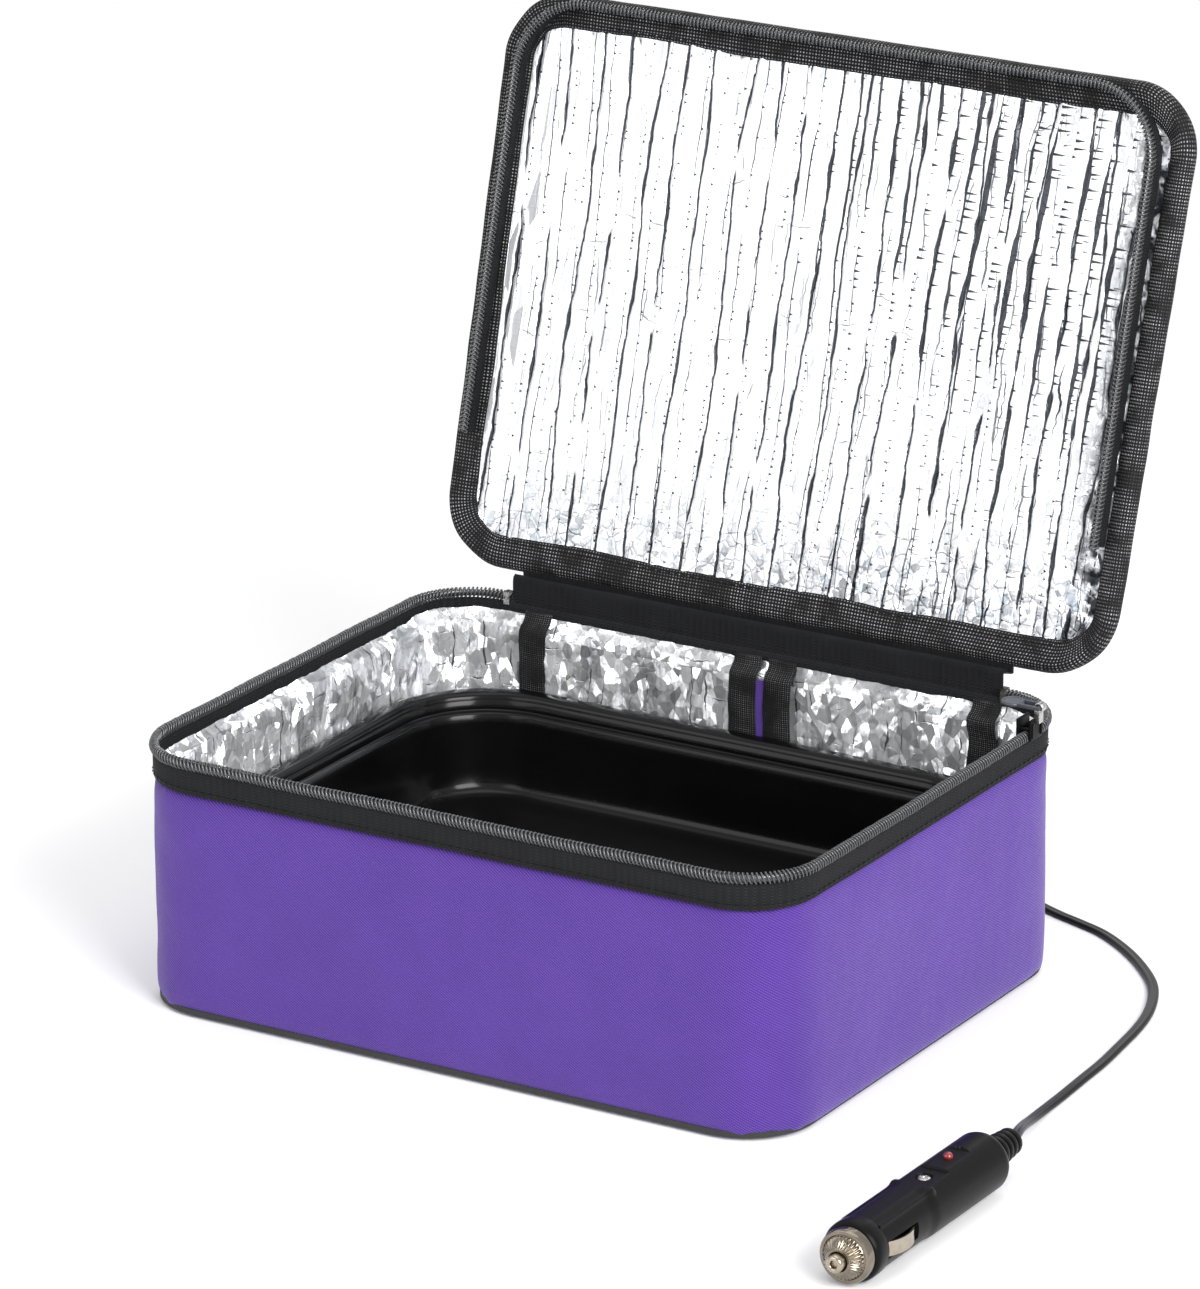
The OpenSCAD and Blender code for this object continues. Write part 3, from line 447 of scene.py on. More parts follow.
def creaseComb(paint, along, across, crease, width):
    # 0 to 1: long creases, and short ticks that run off one side of each; a mask for painted crease shade
    seed, pitch, chance = crease["seed"], crease["pitch"], crease["chance"]
    place = paint.vector(along * 9, across * 7, seed)
    line = across / pitch + (paint.noise(place, 1.0, 5.0, 0.6) - 0.5) * 1.7
    cell = line.math("FLOOR")
    side = (line - cell - 0.14) * pitch
    here = paint.noise(paint.vector(along / crease["reach"], cell * 3.7, seed), 1.0, 2.0)
    wide = paint.span(here, chance, chance + 0.16, 0.0, crease["wide"]) * width
    long = ((wide - side.math("ABSOLUTE")) / creases["soft"]).clamp()
    row = along / crease["tick"] + paint.noise(place, 3.0, 2.0) * 1.5
    step = row.math("FLOOR")
    luck = paint.noise(paint.vector(step * 2.3, cell * 1.9, seed + 9), 1.0, 0.0)
    reach = paint.span(luck, 0.44, 0.62, 0.0, crease["tickLong"]) * width
    thick = (1 - side / (reach + 0.00001)) * crease["tickThick"]
    gap = (row - step - 0.5).math("ABSOLUTE") * crease["tick"]
    return long.over(((thick - gap) / 0.00014).clamp() * (side > 0) * (reach > 0.0004))


# colours of the painted crease shade and of the painted patch shade, then roughness noise and bump depth
film = {"fold": (0.030, 0.034, 0.042), "shadeGrey": (0.50, 0.57, 0.64), "cloud": 42.0, "depth": 0.0011}


def foilFilm(name, tone, metal, relief, build):
    # build gives the painted shade of the film's folds and creases, a height, tilted facets and the painted
    # shade of its patches
    paint = Paint(name, tone, 0.2, metal)
    dark, height, facets, shade = build(paint, *paint.flow())
    cloud = paint.noise(paint.place(), film["cloud"], 4.0, 0.6)
    shadeGrey = tuple(c * s for c, s in zip(tone, film["shadeGrey"]))
    # painted shade: folds and creases darkened towards the crease-shade colour, shaded patches towards a grey
    # tint of the tone
    colour = paint.mix(dark.clamp(), paint.mix(shade.clamp(), tone, shadeGrey), film["fold"])
    soft = paint.bump(facets, 1.0, 0.9)
    return paint.surface(colour, paint.span(cloud, 0.3, 0.72, 0.12, 0.34),
                         paint.bump(height - dark * 0.7, film["depth"], 0.55 * relief, soft))


# places in metres on the lid's film, and how many cells of each kind go to a metre
lidFilm = {
    "right": (-0.02, 0.075), "upper": (-0.045, 0.005), "rimX": (0.112, 0.122), "rimY": (-0.1, -0.094),
    "low": (0.055, 0.085), "tiles": 230.0, "shine": 170.0, "strips": 190.0, "bits": 300.0, "cells": 260.0,
    "scrim": 0.0042,
}


def lidFolds(paint, u, v):
    place = paint.place()
    # painted shade in the folds, creases and ticks; dark below gathers them
    folds = paint.span(paint.attribute("fold"), 0.22, 0.5)
    right = paint.span(u, *lidFilm["right"])
    upper = right * paint.span(v - u * 0.25, *lidFilm["upper"], 1.0, 0.0)
    comb = creaseComb(paint, v, u, lidCrease, upper * 0.8 + 0.2)
    spare = creaseComb(paint, v, u, sideCrease, right * 0.7 + 0.3)
    fine = creaseLines(paint, v, u, "fine") * (right * 0.9 + 0.1)
    few = creaseLines(paint, u, v, "few") * 0.7
    thin = creaseLines(paint, v, u, "thin") * 0.7
    # painted shade: a darker band round the film's edge by the binding, thinned by noise into brighter spots
    rim = paint.span(u, *lidFilm["rimX"]) + paint.span(v, *lidFilm["rimY"], 1.0, 0.0)
    edge = rim.clamp() * paint.span(paint.noise(place, lidFilm["shine"], 2.0), 0.46, 0.56, 1.0, 0.1)
    low = paint.span(v, *lidFilm["low"]) + right * 0.35
    tiles = paint.cracks(paint.stretch(place, (1, 1, 0.7)), lidFilm["tiles"])
    # painted shade along the cracks in the crumpled lower part
    cracked = paint.span(tiles, 0.0, 0.035, 1.0, 0.0) * low * 0.6
    scrim = (u.wave(lidFilm["scrim"]) ** 18 + v.wave(lidFilm["scrim"]) ** 18).clamp() * 0.12
    dark = folds.over(fine).over(comb).over(spare * 0.8).over(edge).over(few).over(thin) + cracked * 0.6
    strips = paint.facets(paint.stretch(place, (1, 0.3, 0.3)), lidFilm["strips"]) * 0.5
    bits = paint.facets(place, lidFilm["bits"]) * (low + rim) * 0.7
    # painted shade on some cells of the lower part and near the rim
    shade = paint.span(paint.cells(place, lidFilm["cells"]), 0.6, 0.9) * (low * 0.5 + rim.clamp() * 0.5)
    return dark, tiles.math("MINIMUM", 0.12) * low * 3 + scrim, strips + bits, shade


wallFilm = {
    "leftWall": (-0.1215, -0.1165), "bent": 55.0, "tiles": 120.0, "ridges": 330.0, "long": 120.0,
    "short": 300.0, "streaks": (520, 520, 46), "broad": 95.0, "small": 310.0, "scrim": (0.0036, 0.0052),
}


def wallFolds(paint, u, v):
    # upright streaks and crumpled facets in the relief, with painted shade in streaks, patches and a few dark
    # creases, and ridges left light as painted highlights
    place = paint.place()
    # painted shade in the folds and in the upright and level crease lines
    folds = paint.span(paint.attribute("fold"), 0.6, 0.95) * 0.4
    upright, level = creaseLines(paint, v, u, "upright"), creaseLines(paint, u, v, "level")
    dark = folds.over(upright * 0.85).over(level * 0.8)
    bent = paint.noise(place, wallFilm["bent"], 4.0, 0.6, 0.8)
    tiles = paint.cracks(paint.stretch(place, (1.0, 1.0, 0.42), 20), wallFilm["tiles"])
    long = paint.facets(paint.stretch(place, (1.0, 1.0, 0.3), 12), wallFilm["long"])
    short = paint.facets(paint.stretch(place, (1.0, 1.0, 0.7), -25), wallFilm["short"])
    streaks = paint.noise(paint.stretch(place, wallFilm["streaks"]), 1.0, 4.0, 0.65)
    broad = paint.cells(paint.stretch(place, (1.0, 1.0, 0.42)), wallFilm["broad"])
    small = paint.cells(paint.stretch(place, (1.0, 1.0, 0.55)), wallFilm["small"])
    # painted shade in streaks and in patches of cells
    shade = paint.span(streaks, 0.50, 0.68) * 0.8 + paint.span(broad, 0.7, 0.95) * 0.4
    shade = shade + paint.span(small, 0.78, 0.95) * 0.4
    cross = paint.cracks(paint.stretch(place, (1, 1, 0.5), 40), wallFilm["ridges"])
    ridges = paint.span(tiles, 0.0, 0.016, 1.0, 0.0) + paint.span(cross, 0.0, 0.03, 0.8, 0.0)
    leftWall = paint.span(place.part("x"), *wallFilm["leftWall"], 1.0, 0.0)
    scrim = (u.wave(wallFilm["scrim"][0]) ** 14 + v.wave(wallFilm["scrim"][1]) ** 16).clamp()
    # painted shade heavier on the left wall; ridges, and a fine grid on the left wall, are left lighter as
    # painted highlights
    shade = (shade + leftWall * 0.45) * (1 - ridges.clamp()) * (1 - scrim * leftWall * 0.8)
    height = tiles.math("MINIMUM", 0.14) + bent * 1.5 + streaks * 0.8
    return dark, height, long * 2.0 + short * 1.6, shade * 0.35


def mouldedPlastic(name, colour, roughness=0.5, grain=900.0, depth=0.00008, spread=0.1, **constants):
    paint = Paint(name, colour, roughness, **constants)
    speck = paint.noise(paint.place(), grain, 3.0, 0.6)
    cloud = paint.noise(paint.place(), 30.0, 3.0)
    lighter = tuple(c * (1 + 2.4 * spread) + 0.01 * spread for c in colour)
    return paint.surface(paint.mix(paint.span(speck * 0.7 + cloud * 0.3, 0.35, 0.65), colour, lighter),
                         paint.span(cloud, 0.3, 0.7, roughness * 0.88, min(1, roughness * 1.12)),
                         paint.bump(speck, depth, 0.7))


def glossCoat(name, colour, roughness, dust, shine, coat):
    paint = Paint(name, colour, roughness, Coat_Roughness=0.06, Specular_IOR_Level=shine)
    peel = paint.noise(paint.place(), 120.0, 2.0)
    smear = paint.noise(paint.stretch(paint.place(), (9, 30, 20)), 1.0, 4.0)
    dusty = tuple(c + dust * 0.25 for c in colour)
    paint.feed("Coat Weight", paint.span(smear, 0.2, 0.8, coat * 1.2, coat * 0.7))
    return paint.surface(paint.mix(paint.span(smear, 0.4, 0.8), colour, dusty),
                         paint.span(smear, 0.3, 0.7, roughness * 0.8, roughness * 1.35),
                         paint.bump(peel, 0.00006, 0.4))


def brightMetal(name, colour, roughness, brushed=0.0):
    paint = Paint(name, colour, roughness, 1.0)
    place = paint.place()
    tarnish = paint.noise(place, 260.0, 4.0, 0.6)
    scratch = paint.noise(paint.stretch(place, (2600, 60, 2600)), 1.0, 2.0)
    dull = tuple(c * 0.72 for c in colour)
    return paint.surface(paint.mix(paint.span(tarnish, 0.35, 0.75), colour, dull),
                         paint.span(tarnish, 0.3, 0.7, roughness * 0.7, roughness * 1.5),
                         paint.bump(scratch, 0.00004, 0.25 + brushed))


def clearCast(name, colour, alpha=1.0):
    paint = Paint(name, colour, 0.08, Coat_Weight=0.6, IOR=1.49)
    swirl = paint.noise(paint.place(), 700.0, 3.0)
    paint.feed("Base Color", paint.mix(paint.span(swirl, 0.35, 0.65), colour,
                                       tuple(min(1, c * 1.35) for c in colour)))
    paint.feed("Alpha", alpha)
    paint.feed("Normal", paint.bump(swirl, 0.00003, 0.3))
    return paint


def foamCore(name, colour):
    paint = Paint(name, colour, 0.9)
    cells = paint.cracks(paint.place(), 620.0)
    paint.feed("Base Color", paint.mix(paint.span(cells, 0.0, 0.2), tuple(c * 0.6 for c in colour), colour))
    paint.feed("Normal", paint.bump(cells.math("MINIMUM", 0.25), 0.0005, 0.7))
    return paint


finish = {
    "purple": twillFabric("purpleTwill", (0.132, 0.061, 0.372), (0.036, 0.014, 0.138)),
    # the second colour of each woven tape is its painted glint at thread crossings
    "binding": wovenTape("wovenBinding", (0.62, 0.62, 0.64), 0.0012),
    "edgeTape": wovenTape("wovenEdge", (0.26, 0.26, 0.27), 0.00085),
    "herringbone": herringboneTape("herringbone"),
    "lidFoil": foilFilm("lidFoil", (0.86, 0.875, 0.905), 0.45, 0.7, lidFolds),
    "wallFoil": foilFilm("wallFoil", (0.98, 0.985, 1.0), 0.62, 1.0, wallFolds),
    "baseCloth": mouldedPlastic("coatedCloth", (0.012, 0.012, 0.013), 0.65, 1500, 0.0002),
    "teeth": mouldedPlastic("zipTeeth", (0.040, 0.041, 0.044), 0.2, 2400, 0.00003, 0.1,
                            Specular_IOR_Level=0.9),
    "pull": mouldedPlastic("pullEnamel", (0.040, 0.045, 0.055), 0.3, 1500, 0.00003),
    "frame": mouldedPlastic("frameEnamel", (0.0105, 0.0132, 0.021), 0.42, 1900, 0.00007, 0.3,
                            Specular_IOR_Level=0.35),
    "plateTop": glossCoat("plateCoating", (0.024, 0.030, 0.029), 0.28, 0.03, 0.42, 0.06),
    "tray": glossCoat("trayCoating", (0.0022, 0.0022, 0.0025), 0.15, 0.010, 0.19, 0.03),
    "plug": mouldedPlastic("plugPlastic", (0.0035, 0.0035, 0.0038), 0.34, 1300, 0.00004, 0.1,
                           Specular_IOR_Level=0.08),
    "rubber": mouldedPlastic("leadVinyl", (0.004, 0.004, 0.0044), 0.34, 700, 0.00005, 0.1,
                             Specular_IOR_Level=0.14),
    "nickel": brightMetal("nickel", (0.40, 0.35, 0.28), 0.12),
    "noseMetal": brightMetal("noseNickel", (0.23, 0.20, 0.16), 0.16),
    "steel": brightMetal("steel", (0.55, 0.54, 0.52), 0.25, 0.2),
    "lens": clearCast("redLens", (0.17, 0.002, 0.004)),
    "glass": clearCast("fuseGlass", (0.62, 0.66, 0.66), 0.45),
    "foam": foamCore("foam", (0.72, 0.72, 0.7)),
    "heater": mouldedPlastic("heaterFilm", (0.34, 0.11, 0.02), 0.3, 400, 0.0001),
    "board": mouldedPlastic("board", (0.02, 0.02, 0.02), 0.8, 500, 0.0002),
}
print("finishes made:", len(finish))

# every CAD node starts with the finish of its slot
slotFinish = {
    "purple_fabric": "purple", "black_fabric": "binding", "foil": "wallFoil", "foam": "foam",
    "board": "board", "zip_plastic": "teeth", "slider_metal": "steel", "pull_plastic": "pull",
    "frame_plastic": "frame", "plate_coating": "plateTop", "heater_film": "heater",
    "tray_coating": "tray", "black_plastic": "plug", "rubber": "rubber",
    "bright_metal": "nickel", "steel": "steel", "fuse_glass": "glass", "red_lens": "lens",
}
for entry in frame["record"]["subparts"]:
    node = cadNodes[entry["node"]]
    node.data.materials.clear()
    node.data.materials.append(finish[slotFinish[entry["material_slot"]]].material)


# lead

lead = {
    "width": 4.0, "thickness": 2.2, "lobes": 0.92,
    "coilMiddle": (5, 168), "coilRadius": 32, "turns": 7.25, "pitch": 4.6,
    "coilHeight": 1.9, "layer": 2.9, "stepsPerTurn": 28, "glandEnd": 118, "glandHeight": 11,
    "between": 5,
}


def leadRoute():
    middleX, middleY = lead["coilMiddle"]
    radius, width, height = lead["coilRadius"], lead["width"], lead["coilHeight"]
    high, lay, gland = height + lead["layer"], lead["thickness"] / 2, lead["glandHeight"]
    end = lead["glandEnd"]
    rear = [(0, end, gland), (0, end + 4, gland - 0.4), (-3, 127, 9.2), (-10, 131, 6.8),
            (-18, 136, 4.4), (-25, 143, 2.8), (-28, 152, height),
            (middleX - radius - 0.4, middleY - 10, height), (middleX - radius, middleY - width, height)]
    front = [(middleX + width, middleY + radius, high), (18, 199, 4.2), (30, 195, 3), (43, 187, 1.8),
             (56, 176, lay), (69, 164, lay), (82, 151, lay), (94, 141, lay), (106, 135, lay),
             (117, 131, lay), (129, 126, lay), (142, 117, lay), (154, 106, lay), (165, 93, lay),
             (172, 80, lay), (177, 66, lay), (180, 52, lay), (182, 37, lay), (184, 20, lay),
             (185, 3, lay), (186, -13, lay), (187, -28, 1.5), (189, -40, 3), (192, -51, 5.6),
             (196, -62, 8.6), (199, -70, 10.2), (200, -75, 10.5),
             (200, -90, 10.5), (200, -104, 10.5), (200, -118, 10.5)]
    coil, turns = [], lead["turns"]
    for i in range(int(turns * lead["stepsPerTurn"]) + 1):
        turn = i / lead["stepsPerTurn"]
        r = radius - lead["pitch"] * min(turn, turns - turn)
        a = math.radians(180 - 360 * turn)
        u = min(1, max(0, (turn - turns / 2) * 2 + 0.5))
        coil.append((middleX + r * math.cos(a), middleY + r * math.sin(a),
                     height + lead["layer"] * u * u * (3 - 2 * u)))
    return smoothRoute(rear, 3), coil, smoothRoute(front, lead["between"])


def smoothRoute(route, steps):
    points = [Vector(p) for p in route]
    ends = [2 * points[0] - points[1]] + points + [2 * points[-1] - points[-2]]
    made = []
    for a, b, c, d in zip(ends, ends[1:], ends[2:], ends[3:]):
        for k in range(steps):
            u = k / steps
            made.append(tuple(0.5 * (2 * b + (c - a) * u + (2 * a - 5 * b + 4 * c - d) * u * u
                                     + (3 * b - a - 3 * c + d) * u ** 3)))
    return made + [tuple(points[-1])]


def sweep(name, path, profile):
    # profile holds (side, up) pairs, clockwise seen along the path
    points = [Vector(p) for p in path]
    rings, lastSide = [], Vector((1, 0, 0))
    for i, p in enumerate(points):
        along = (points[min(i + 1, len(points) - 1)] - points[max(i - 1, 0)]).normalized()
        side = along.cross(Vector((0, 0, 1)))
        side = side.normalized() if side.length > 1e-6 else lastSide
        lastSide = side
        up = side.cross(along)
        rings.append([tuple(p + side * s + up * h) for s, h in profile])
    return loft(name, rings, True, True, sharp=50.0)


def twinProfile():
    # two round conductors side by side with a groove between them
    half, r = lead["width"] / 2, lead["thickness"] / 2
    reach, points = half - r, []
    for side, start, end in ((1, -128, 128), (-1, 52, 308)):
        for k in range(11):
            a = math.radians(start + (end - start) * k / 10)
            points.append((side * reach * lead["lobes"] + r * math.cos(a), r * math.sin(a)))
    return points


def makeLead():
    rear, coil, front = leadRoute()
    path = rear + coil + front
    piece = sweep("twinLead", path, twinProfile())
    dress(piece, "rubber", "bag", "rubber", "cord_rear", "cord_coil", "cord_front")
    total = sum((Vector(b) - Vector(a)).length for a, b in zip(path, path[1:])) * mm
    print("lead length, m", round(total, 4))
    return piece, [tuple(c * mm for c in p) for p in path], total


twinLead, leadPath, leadLength = makeLead()


# a white studio: lamps and world light the object, and what a camera ray sees of the world is white
studio = {"white": 1.0, "floorTone": 0.95, "floorFade": (0.4, 0.85), "grain": 14.0, "reach": 9}


def makeWorld():
    world = bpy.data.worlds.new("studio")
    bpy.context.scene.world = world
    world.use_nodes = True
    tree = world.node_tree
    tree.nodes.clear()
    output, soft, seen, blend, path = [tree.nodes.new("ShaderNode" + kind) for kind in (
        "OutputWorld", "Background", "Background", "MixShader", "LightPath")]
    for background, strength in ((soft, light["world"]), (seen, studio["white"])):
        background.inputs["Color"].default_value = (1, 1, 1, 1)
        background.inputs["Strength"].default_value = strength
    factor = path.outputs["Is Camera Ray"]
    for ray in ("Is Glossy Ray", "Is Transmission Ray"):
        add = tree.nodes.new("ShaderNodeMath")
        add.operation = "MAXIMUM"
        tree.links.new(factor, add.inputs[0])
        tree.links.new(path.outputs[ray], add.inputs[1])
        factor = add.outputs[0]
    tree.links.new(factor, blend.inputs[0])
    tree.links.new(soft.outputs[0], blend.inputs[1])
    tree.links.new(seen.outputs[0], blend.inputs[2])
    tree.links.new(blend.outputs[0], output.inputs[0])


def makeFloor():
    tone = studio["floorTone"]
    paint = Paint("studioFloor", (tone,) * 3, 0.9, Specular_IOR_Level=0.0)
    place = paint.place()
    reach = (place.part("x") ** 2 + place.part("y") ** 2) ** 0.5
    fade = paint.span(reach, *studio["floorFade"])
    grain = paint.noise(place, studio["grain"], 3.0)
    paint.feed("Base Color", paint.mix(grain, (tone,) * 3, (tone + 0.02,) * 3))
    rays = paint.node("ShaderNodeLightPath").math(
        "MAXIMUM", paint.node("ShaderNodeLightPath", out="Is Glossy Ray"))
    white = paint.node("ShaderNodeEmission", {}, {"Strength": studio["white"]})
    output = paint.tree.nodes["Material Output"]
    blend = paint.node("ShaderNodeMixShader", {}, (fade * rays, Wire(paint, paint.shader.outputs[0]), white))
    paint.tree.links.new(blend.socket, output.inputs[0])
    bpy.ops.mesh.primitive_circle_add(vertices=96, radius=studio["reach"], fill_type="NGON")
    floor = bpy.context.object
    floor.name = "studioFloor"
    floor.data.materials.append(paint.material)


makeWorld()
makeFloor()
print("studio made")


# lines and surfaces that follow a rounded outline

def roundedPath(corners, arc, runs, spacing):
    # closed line through (x, y, radius) corners, anticlockwise, with runs as the steps of each straight
    arcs = []
    for i, (x, y, radius) in enumerate(corners):
        here = Vector((x, y))
        before = (Vector(corners[i - 1][:2]) - here).normalized()
        after = (Vector(corners[(i + 1) % len(corners)][:2]) - here).normalized()
        half = before.angle(after) / 2
        centre = here + (before + after).normalized() * radius / math.sin(half)
        first = here + before * radius / math.tan(half) - centre
        last = here + after * radius / math.tan(half) - centre
        turn = first.angle_signed(last)
        arcs.append([centre + Matrix.Rotation(-turn * k / arc, 2) @ first for k in range(arc + 1)])
    runs = runs or [max(1, round((arcs[(i + 1) % len(arcs)][0] - arcs[i][-1]).length / spacing))
                    for i in range(len(arcs))]
    points = []
    for i, bend in enumerate(arcs):
        ahead = arcs[(i + 1) % len(arcs)][0]
        points += [tuple(p) for p in bend]
        points += [tuple(bend[-1].lerp(ahead, k / runs[i])) for k in range(1, runs[i])]
    return points, runs


def around(x, y, width, depth, radius):
    # millimetres along a rounded outline, anticlockwise from the middle of its back
    halfX, halfY, quarter = width / 2 - radius, depth / 2 - radius, radius * math.pi / 2
    dx, dy = x - np.clip(x, -halfX, halfX), y - np.clip(y, -halfY, halfY)
    angle = np.arctan2(dy, dx)
    total = 4 * (halfX + halfY + quarter)
    left = halfX + quarter
    front = left + 2 * halfY + quarter
    right = front + 2 * halfX + quarter
    run = np.where(x <= 0, -x, total - x)
    side = np.abs(dx) > 1e-9
    run = np.where(~side & (dy < 0), front + x + halfX, run)
    run = np.where(side & (dx < 0), left + halfY - y, run)
    run = np.where(side & (dx > 0), right + y + halfY, run)
    corner = side & (np.abs(dy) > 1e-9)
    run = np.where(corner & (dx < 0) & (dy > 0), halfX + radius * (angle - math.pi / 2), run)
    run = np.where(corner & (dx < 0) & (dy < 0), left + 2 * halfY + radius * (angle + math.pi), run)
    run = np.where(corner & (dx > 0) & (dy < 0), front + 2 * halfX + radius * (angle + math.pi / 2), run)
    run = np.where(corner & (dx > 0) & (dy > 0), right + 2 * halfY + radius * angle, run)
    return run, total


def corners(piece):
    made = np.empty(len(piece.data.vertices) * 3)
    piece.data.vertices.foreach_get("co", made)
    return made.reshape(-1, 3) / mm


def place(piece, points):
    piece.data.vertices.foreach_set("co", (points * mm).ravel())
    piece.data.update()


def loopCorners(piece):
    # the vertex behind each face corner
    index = np.empty(len(piece.data.loops), dtype=np.int32)
    piece.data.loops.foreach_get("vertex_index", index)
    return index


def setFlow(piece, u, v):
    # millimetres along and across at each face corner
    layer = piece.data.uv_layers.get("flow") or piece.data.uv_layers.new(name="flow")
    layer.data.foreach_set("uv", np.stack([u * mm, v * mm], 1).astype(np.float32).ravel())


def wrapFlow(piece, shape):
    # a flow map round the outline and up the wall
    points, index = corners(piece), loopCorners(piece)
    run, total = around(points[:, 0], points[:, 1], *shape)
    starts = np.array([p.loop_start for p in piece.data.polygons])
    sizes = np.array([p.loop_total for p in piece.data.polygons])
    u = run[index]
    owner = np.repeat(np.arange(len(starts)), sizes)
    high = np.zeros(len(starts))
    np.maximum.at(high, owner, u)
    u = np.where(high[owner] - u > total / 2, u + total, u)
    setFlow(piece, u, points[index, 2])


def rumple(points, size, seed=0.0):
    # smooth noise of -1 to 1 at each point, with features about size millimetres across
    shift = Vector((seed * 17.3, seed * 5.1, seed * 9.7))
    return np.array([noise.noise(Vector(p) / size + shift) for p in points])


def inflate(piece, voxel, pressure, reach, held):
    # cloth under light pressure, where held says which corners stay where they are
    remesh = piece.modifiers.new("even", "REMESH")
    remesh.mode = "VOXEL"
    remesh.voxel_size = voxel * mm
    plain(piece)
    before = corners(piece)
    fixed = held(before)
    group = piece.vertex_groups.new(name="held")
    group.add([int(i) for i in np.nonzero(fixed)[0]], 1.0, "REPLACE")
    cloth = piece.modifiers.new("air", "CLOTH")
    cloth.settings.use_pressure = True
    cloth.settings.uniform_pressure_force = pressure
    cloth.settings.vertex_group_mass = "held"
    cloth.settings.effector_weights.gravity = 0
    cloth.point_cache.frame_end = 20
    for frameNumber in range(1, 21):
        bpy.context.scene.frame_set(frameNumber)
    plain(piece)
    bpy.context.scene.frame_set(1)
    piece.vertex_groups.clear()
    moved = corners(piece) - before
    length = np.linalg.norm(moved, axis=1, keepdims=True)
    place(piece, before + moved * np.minimum(1, reach / np.maximum(length, 1e-6)) * ~fixed[:, None])
    smoother = piece.modifiers.new("finer", "SUBSURF")
    smoother.levels = smoother.render_levels = 1
    plain(piece)
    piece.data.polygons.foreach_set("use_smooth", [True] * len(piece.data.polygons))
    print(piece.name, "inflated,", len(piece.data.polygons), "faces")
    return piece


def outwards(piece):
    made = np.empty(len(piece.data.vertices) * 3)
    piece.data.vertex_normals.foreach_get("vector", made)
    return made.reshape(-1, 3)


# food tray

tray = {
    "size": (240, 184, 42), "base": 27.6,
    "profile": [(17.5, 0), (16, 0), (14.4, 0.7), (13.4, 2.2), (13, 4), (12.1, 10), (11, 17.5), (10, 24),
                (9.35, 27.1), (8.95, 27.6), (8.2, 27.8), (7.9, 28.3), (7.65, 30.5), (7.25, 33.1),
                (6.7, 33.75), (5.8, 34.0), (2.9, 34.0), (2.0, 33.5), (1.6, 32.8), (1.1, 32.5),
                (0.55, 32.7), (0.12, 33.4), (0, 34.2), (0.15, 35), (0.65, 35.65), (1.5, 35.97),
                (2.6, 36), (4.4, 35.85), (5.7, 35.5), (6.5, 34.8), (6.9, 33.9), (7.25, 31.2),
                (7.5, 30.3), (8.1, 29.8), (9.4, 29.65), (10.2, 29.4), (10.55, 28.8), (11, 26),
                (12.3, 17.5), (13.4, 10), (14.3, 4.6), (15.1, 2.8), (16.4, 1.6), (18.4, 1.2)],
}


def makeTray():
    rings = plateRings(tray["size"], [(inset, z + tray["base"]) for inset, z in tray["profile"]],
                       arc=26, alongX=26, alongY=18)
    piece = loft("foodTray", rings, capStart=True, capEnd=True, sharp=44)
    return dress(piece, "tray", "tray", "tray_coating", "food_tray")


# heating plate

plate = {
    "width": 228, "depth": 175, "radius": 14, "base": 6.0,
    "notch": 7, "notchHalf": 8, "slope": 7.5 / 7, "notchRound": 1.5,
    "foot": 30, "footSlope": 6, "gap": 9, "spacing": 2.2,
    # inset, level, and whether the level stands on the foot line
    "frame": [(0.55, 0.0, 1), (0.12, 0.18, 1), (0, 0.6, 1), (0, 19.9, 0), (0.1, 20.9, 0), (0.45, 21.65, 0),
              (1.05, 21.97, 0), (1.6, 21.9, 0), (1.88, 21.6, 0), (1.95, 21.2, 0), (1.95, 19.6, 0),
              (6, 19.6, 0), (6, 17.6, 0), (3, 17.6, 0), (3, 0.3, 1), (2.6, 0.0, 1)],
    "top": [(6, 19.6), (2.1, 19.6), (2.1, 21.15), (2.25, 21.42), (2.6, 21.55), (3.4, 21.6)],
}


def plateLine(inset, runs=None):
    x, y = plate["width"] / 2 - inset, plate["depth"] / 2 - inset
    lean = math.hypot(1, plate["slope"]) - plate["slope"]
    inner = plate["notchHalf"] + inset * lean
    outer = inner + plate["notch"] * plate["slope"]
    deep = y - plate["notch"]
    r, tight, wide = max(plate["radius"] - inset, 1), plate["notchRound"], plate["notchRound"] + inset
    return roundedPath([(x, -y, r), (x, y, r), (outer, y, tight), (inner, deep, wide), (-inner, deep, wide),
                        (-outer, y, tight), (-x, y, r), (-x, -y, r)], 8, runs, plate["spacing"])


def footLine(x, y):
    along, half = (abs(x), plate["width"] / 2) if abs(y) > plate["depth"] / 2 - 16 else (
        abs(y), plate["depth"] / 2)
    rise = (half - plate["foot"] + plate["footSlope"] - along) / plate["footSlope"]
    return max(1.0, min(plate["gap"], -1 + (plate["gap"] + 1) * rise))


def makePlate():
    _, runs = plateLine(0)
    rings = []
    for inset, level, onFoot in plate["frame"]:
        ring, _ = plateLine(inset, runs)
        rings.append([(x, y, plate["base"] + level + onFoot * footLine(x, y)) for x, y in ring])
    shell = loft("plateFrame", rings, tube=True, sharp=32)
    dress(shell, "frame", "plate", "frame_plastic", "plate_frame")
    rings = []
    for inset, level in plate["top"]:
        ring, _ = plateLine(inset, runs)
        rings.append([(x, y, plate["base"] + level) for x, y in ring])
    top = loft("hotPlate", rings, capStart=True, capEnd=True, sharp=32)
    dress(top, "plateTop", "plate", "plate_coating", "hot_plate")
    return shell, top


makeTray()
makePlate()
print("tray and heating plate made")


# bag: wall, base and rim

